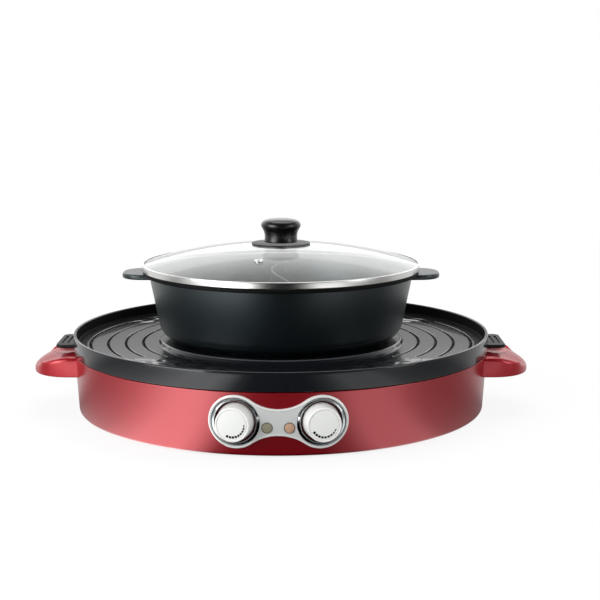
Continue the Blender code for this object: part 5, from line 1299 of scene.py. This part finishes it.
# %% The floor
white = linear("#FFFFFF")
floor_material = bpy.data.materials.new("white_studio_floor")
tree = empty_tree(floor_material)
direct, glossy = ray_kinds(tree)
place = node(tree, "TexCoord").outputs["Object"]
azimuth = azimuth_of(tree, node(tree, "SeparateXYZ", {"Vector": place}))
floor_glow = curve(tree, azimuth, FLOOR_LEVELS)
sheet = node(tree, "Emission", {"Color": white, "Strength": floor_glow})
matt = node(tree, "BsdfDiffuse", {"Color": linear("#B4B4B4")})
lighting = node(tree, "MixShader", {"Fac": glossy, 1: matt, 2: sheet})
across = node(tree, "VectorMath", {0: place}, operation="LENGTH").outputs["Value"]
glow = node(tree, "Emission", {"Color": white, "Strength": 1})
bright_matt = node(tree, "BsdfDiffuse", {"Color": white})
away = curve(tree, across, BACKDROP_SHARES)
seen = node(tree, "MixShader", {"Fac": away, 1: bright_matt, 2: glow})
both = node(tree, "MixShader", {"Fac": direct, 1: lighting, 2: seen})
node(tree, "OutputMaterial", {"Surface": both})


def sheet_of(name, left_front, right_back, material):
    """A flat rectangle of the stage between two opposite corners."""
    (x0, y0, z0), (x1, y1, z1) = left_front, right_back
    grid = np.array([[(x0, y0, z0), (x1, y0, z0)], [(x0, y1, z1), (x1, y1, z1)]])
    thing = skin(name, grid, loop_columns=False)
    thing.data.materials.append(material)
    return thing


sheet_of("studio_floor", (-6.0, -4.0, 0.0), (6.0, 8.0, 0.0), floor_material)
print("floor made")

# %% The white card and the world
# The card hangs close behind, high enough for the lid's crown to mirror it and not the plate.
card_material = bpy.data.materials.new("white_card")
tree = empty_tree(card_material)
card_glow = node(tree, "Emission", {"Color": white, "Strength": 1.7})
node(tree, "OutputMaterial", {"Surface": card_glow})
card = sheet_of("white_card", (-0.7, 0.5, 0.215), (0.7, 0.5, 0.355), card_material)
card.visible_camera = card.visible_diffuse = card.visible_shadow = card.visible_transmission = False

world = bpy.data.worlds.new("studio")
bpy.context.scene.world = world
tree = empty_tree(world)
direct, glossy = ray_kinds(tree)
parts = node(tree, "SeparateXYZ", {"Vector": node(tree, "TexCoord").outputs["Generated"]})
share = curve(tree, azimuth_of(tree, parts), ROOM_SHARES)
level = curve(tree, parts.outputs["Z"], ROOM_LEVELS)
shown = node(tree, "Math", {0: share, 1: level}, operation="MULTIPLY")
lit = node(tree, "Math", {0: shown, 1: glossy}, operation="MULTIPLY")
fill = node(tree, "MapRange", {"Value": glossy, "To Min": FILL_LEVEL, "To Max": 0})
strength = node(tree, "Math", {0: lit, 1: fill}, operation="ADD")
around = node(tree, "Background", {"Color": white, "Strength": strength})
backdrop = node(tree, "Background", {"Color": white, "Strength": 1})
both = node(tree, "MixShader", {"Fac": direct, 1: around, 2: backdrop})
node(tree, "OutputWorld", {"Surface": both})
print("world made")

# %% Lights and camera
LOOK_AT = Vector((0, 0, 0.08))
for name, azimuth_deg, distance, height, width, tall, power in (
        ("left_softbox", -54, 1.7, 0.6, 1.1, 1.15, 20),
        ("right_softbox", 64, 1.9, 0.6, 0.6, 1.1, 6),
        ("top_softbox", 170, 0.6, 1.9, 1.6, 1.2, 16)):
    lamp = bpy.data.lights.new(name, "AREA")
    lamp.shape = "RECTANGLE"
    lamp.size, lamp.size_y, lamp.energy = width, tall, power
    thing = linked(name, lamp)
    thing.location = polar(distance, math.radians(azimuth_deg - 90), height)
    thing.rotation_euler = (LOOK_AT - thing.location).to_track_quat("-Z", "Y").to_euler()
camera_data = bpy.data.cameras.new("camera")
camera_data.lens = 83.06
camera_data.sensor_width = 36
camera = linked("camera", camera_data)
camera.location = (0.0188, -1.4608, 0.3593)
camera.rotation_euler = (math.pi / 2 - 0.166, 0, -0.001)
bpy.context.scene.camera = camera
bpy.context.scene.view_settings.view_transform = "Standard"
print("camera at", tuple(camera.location))
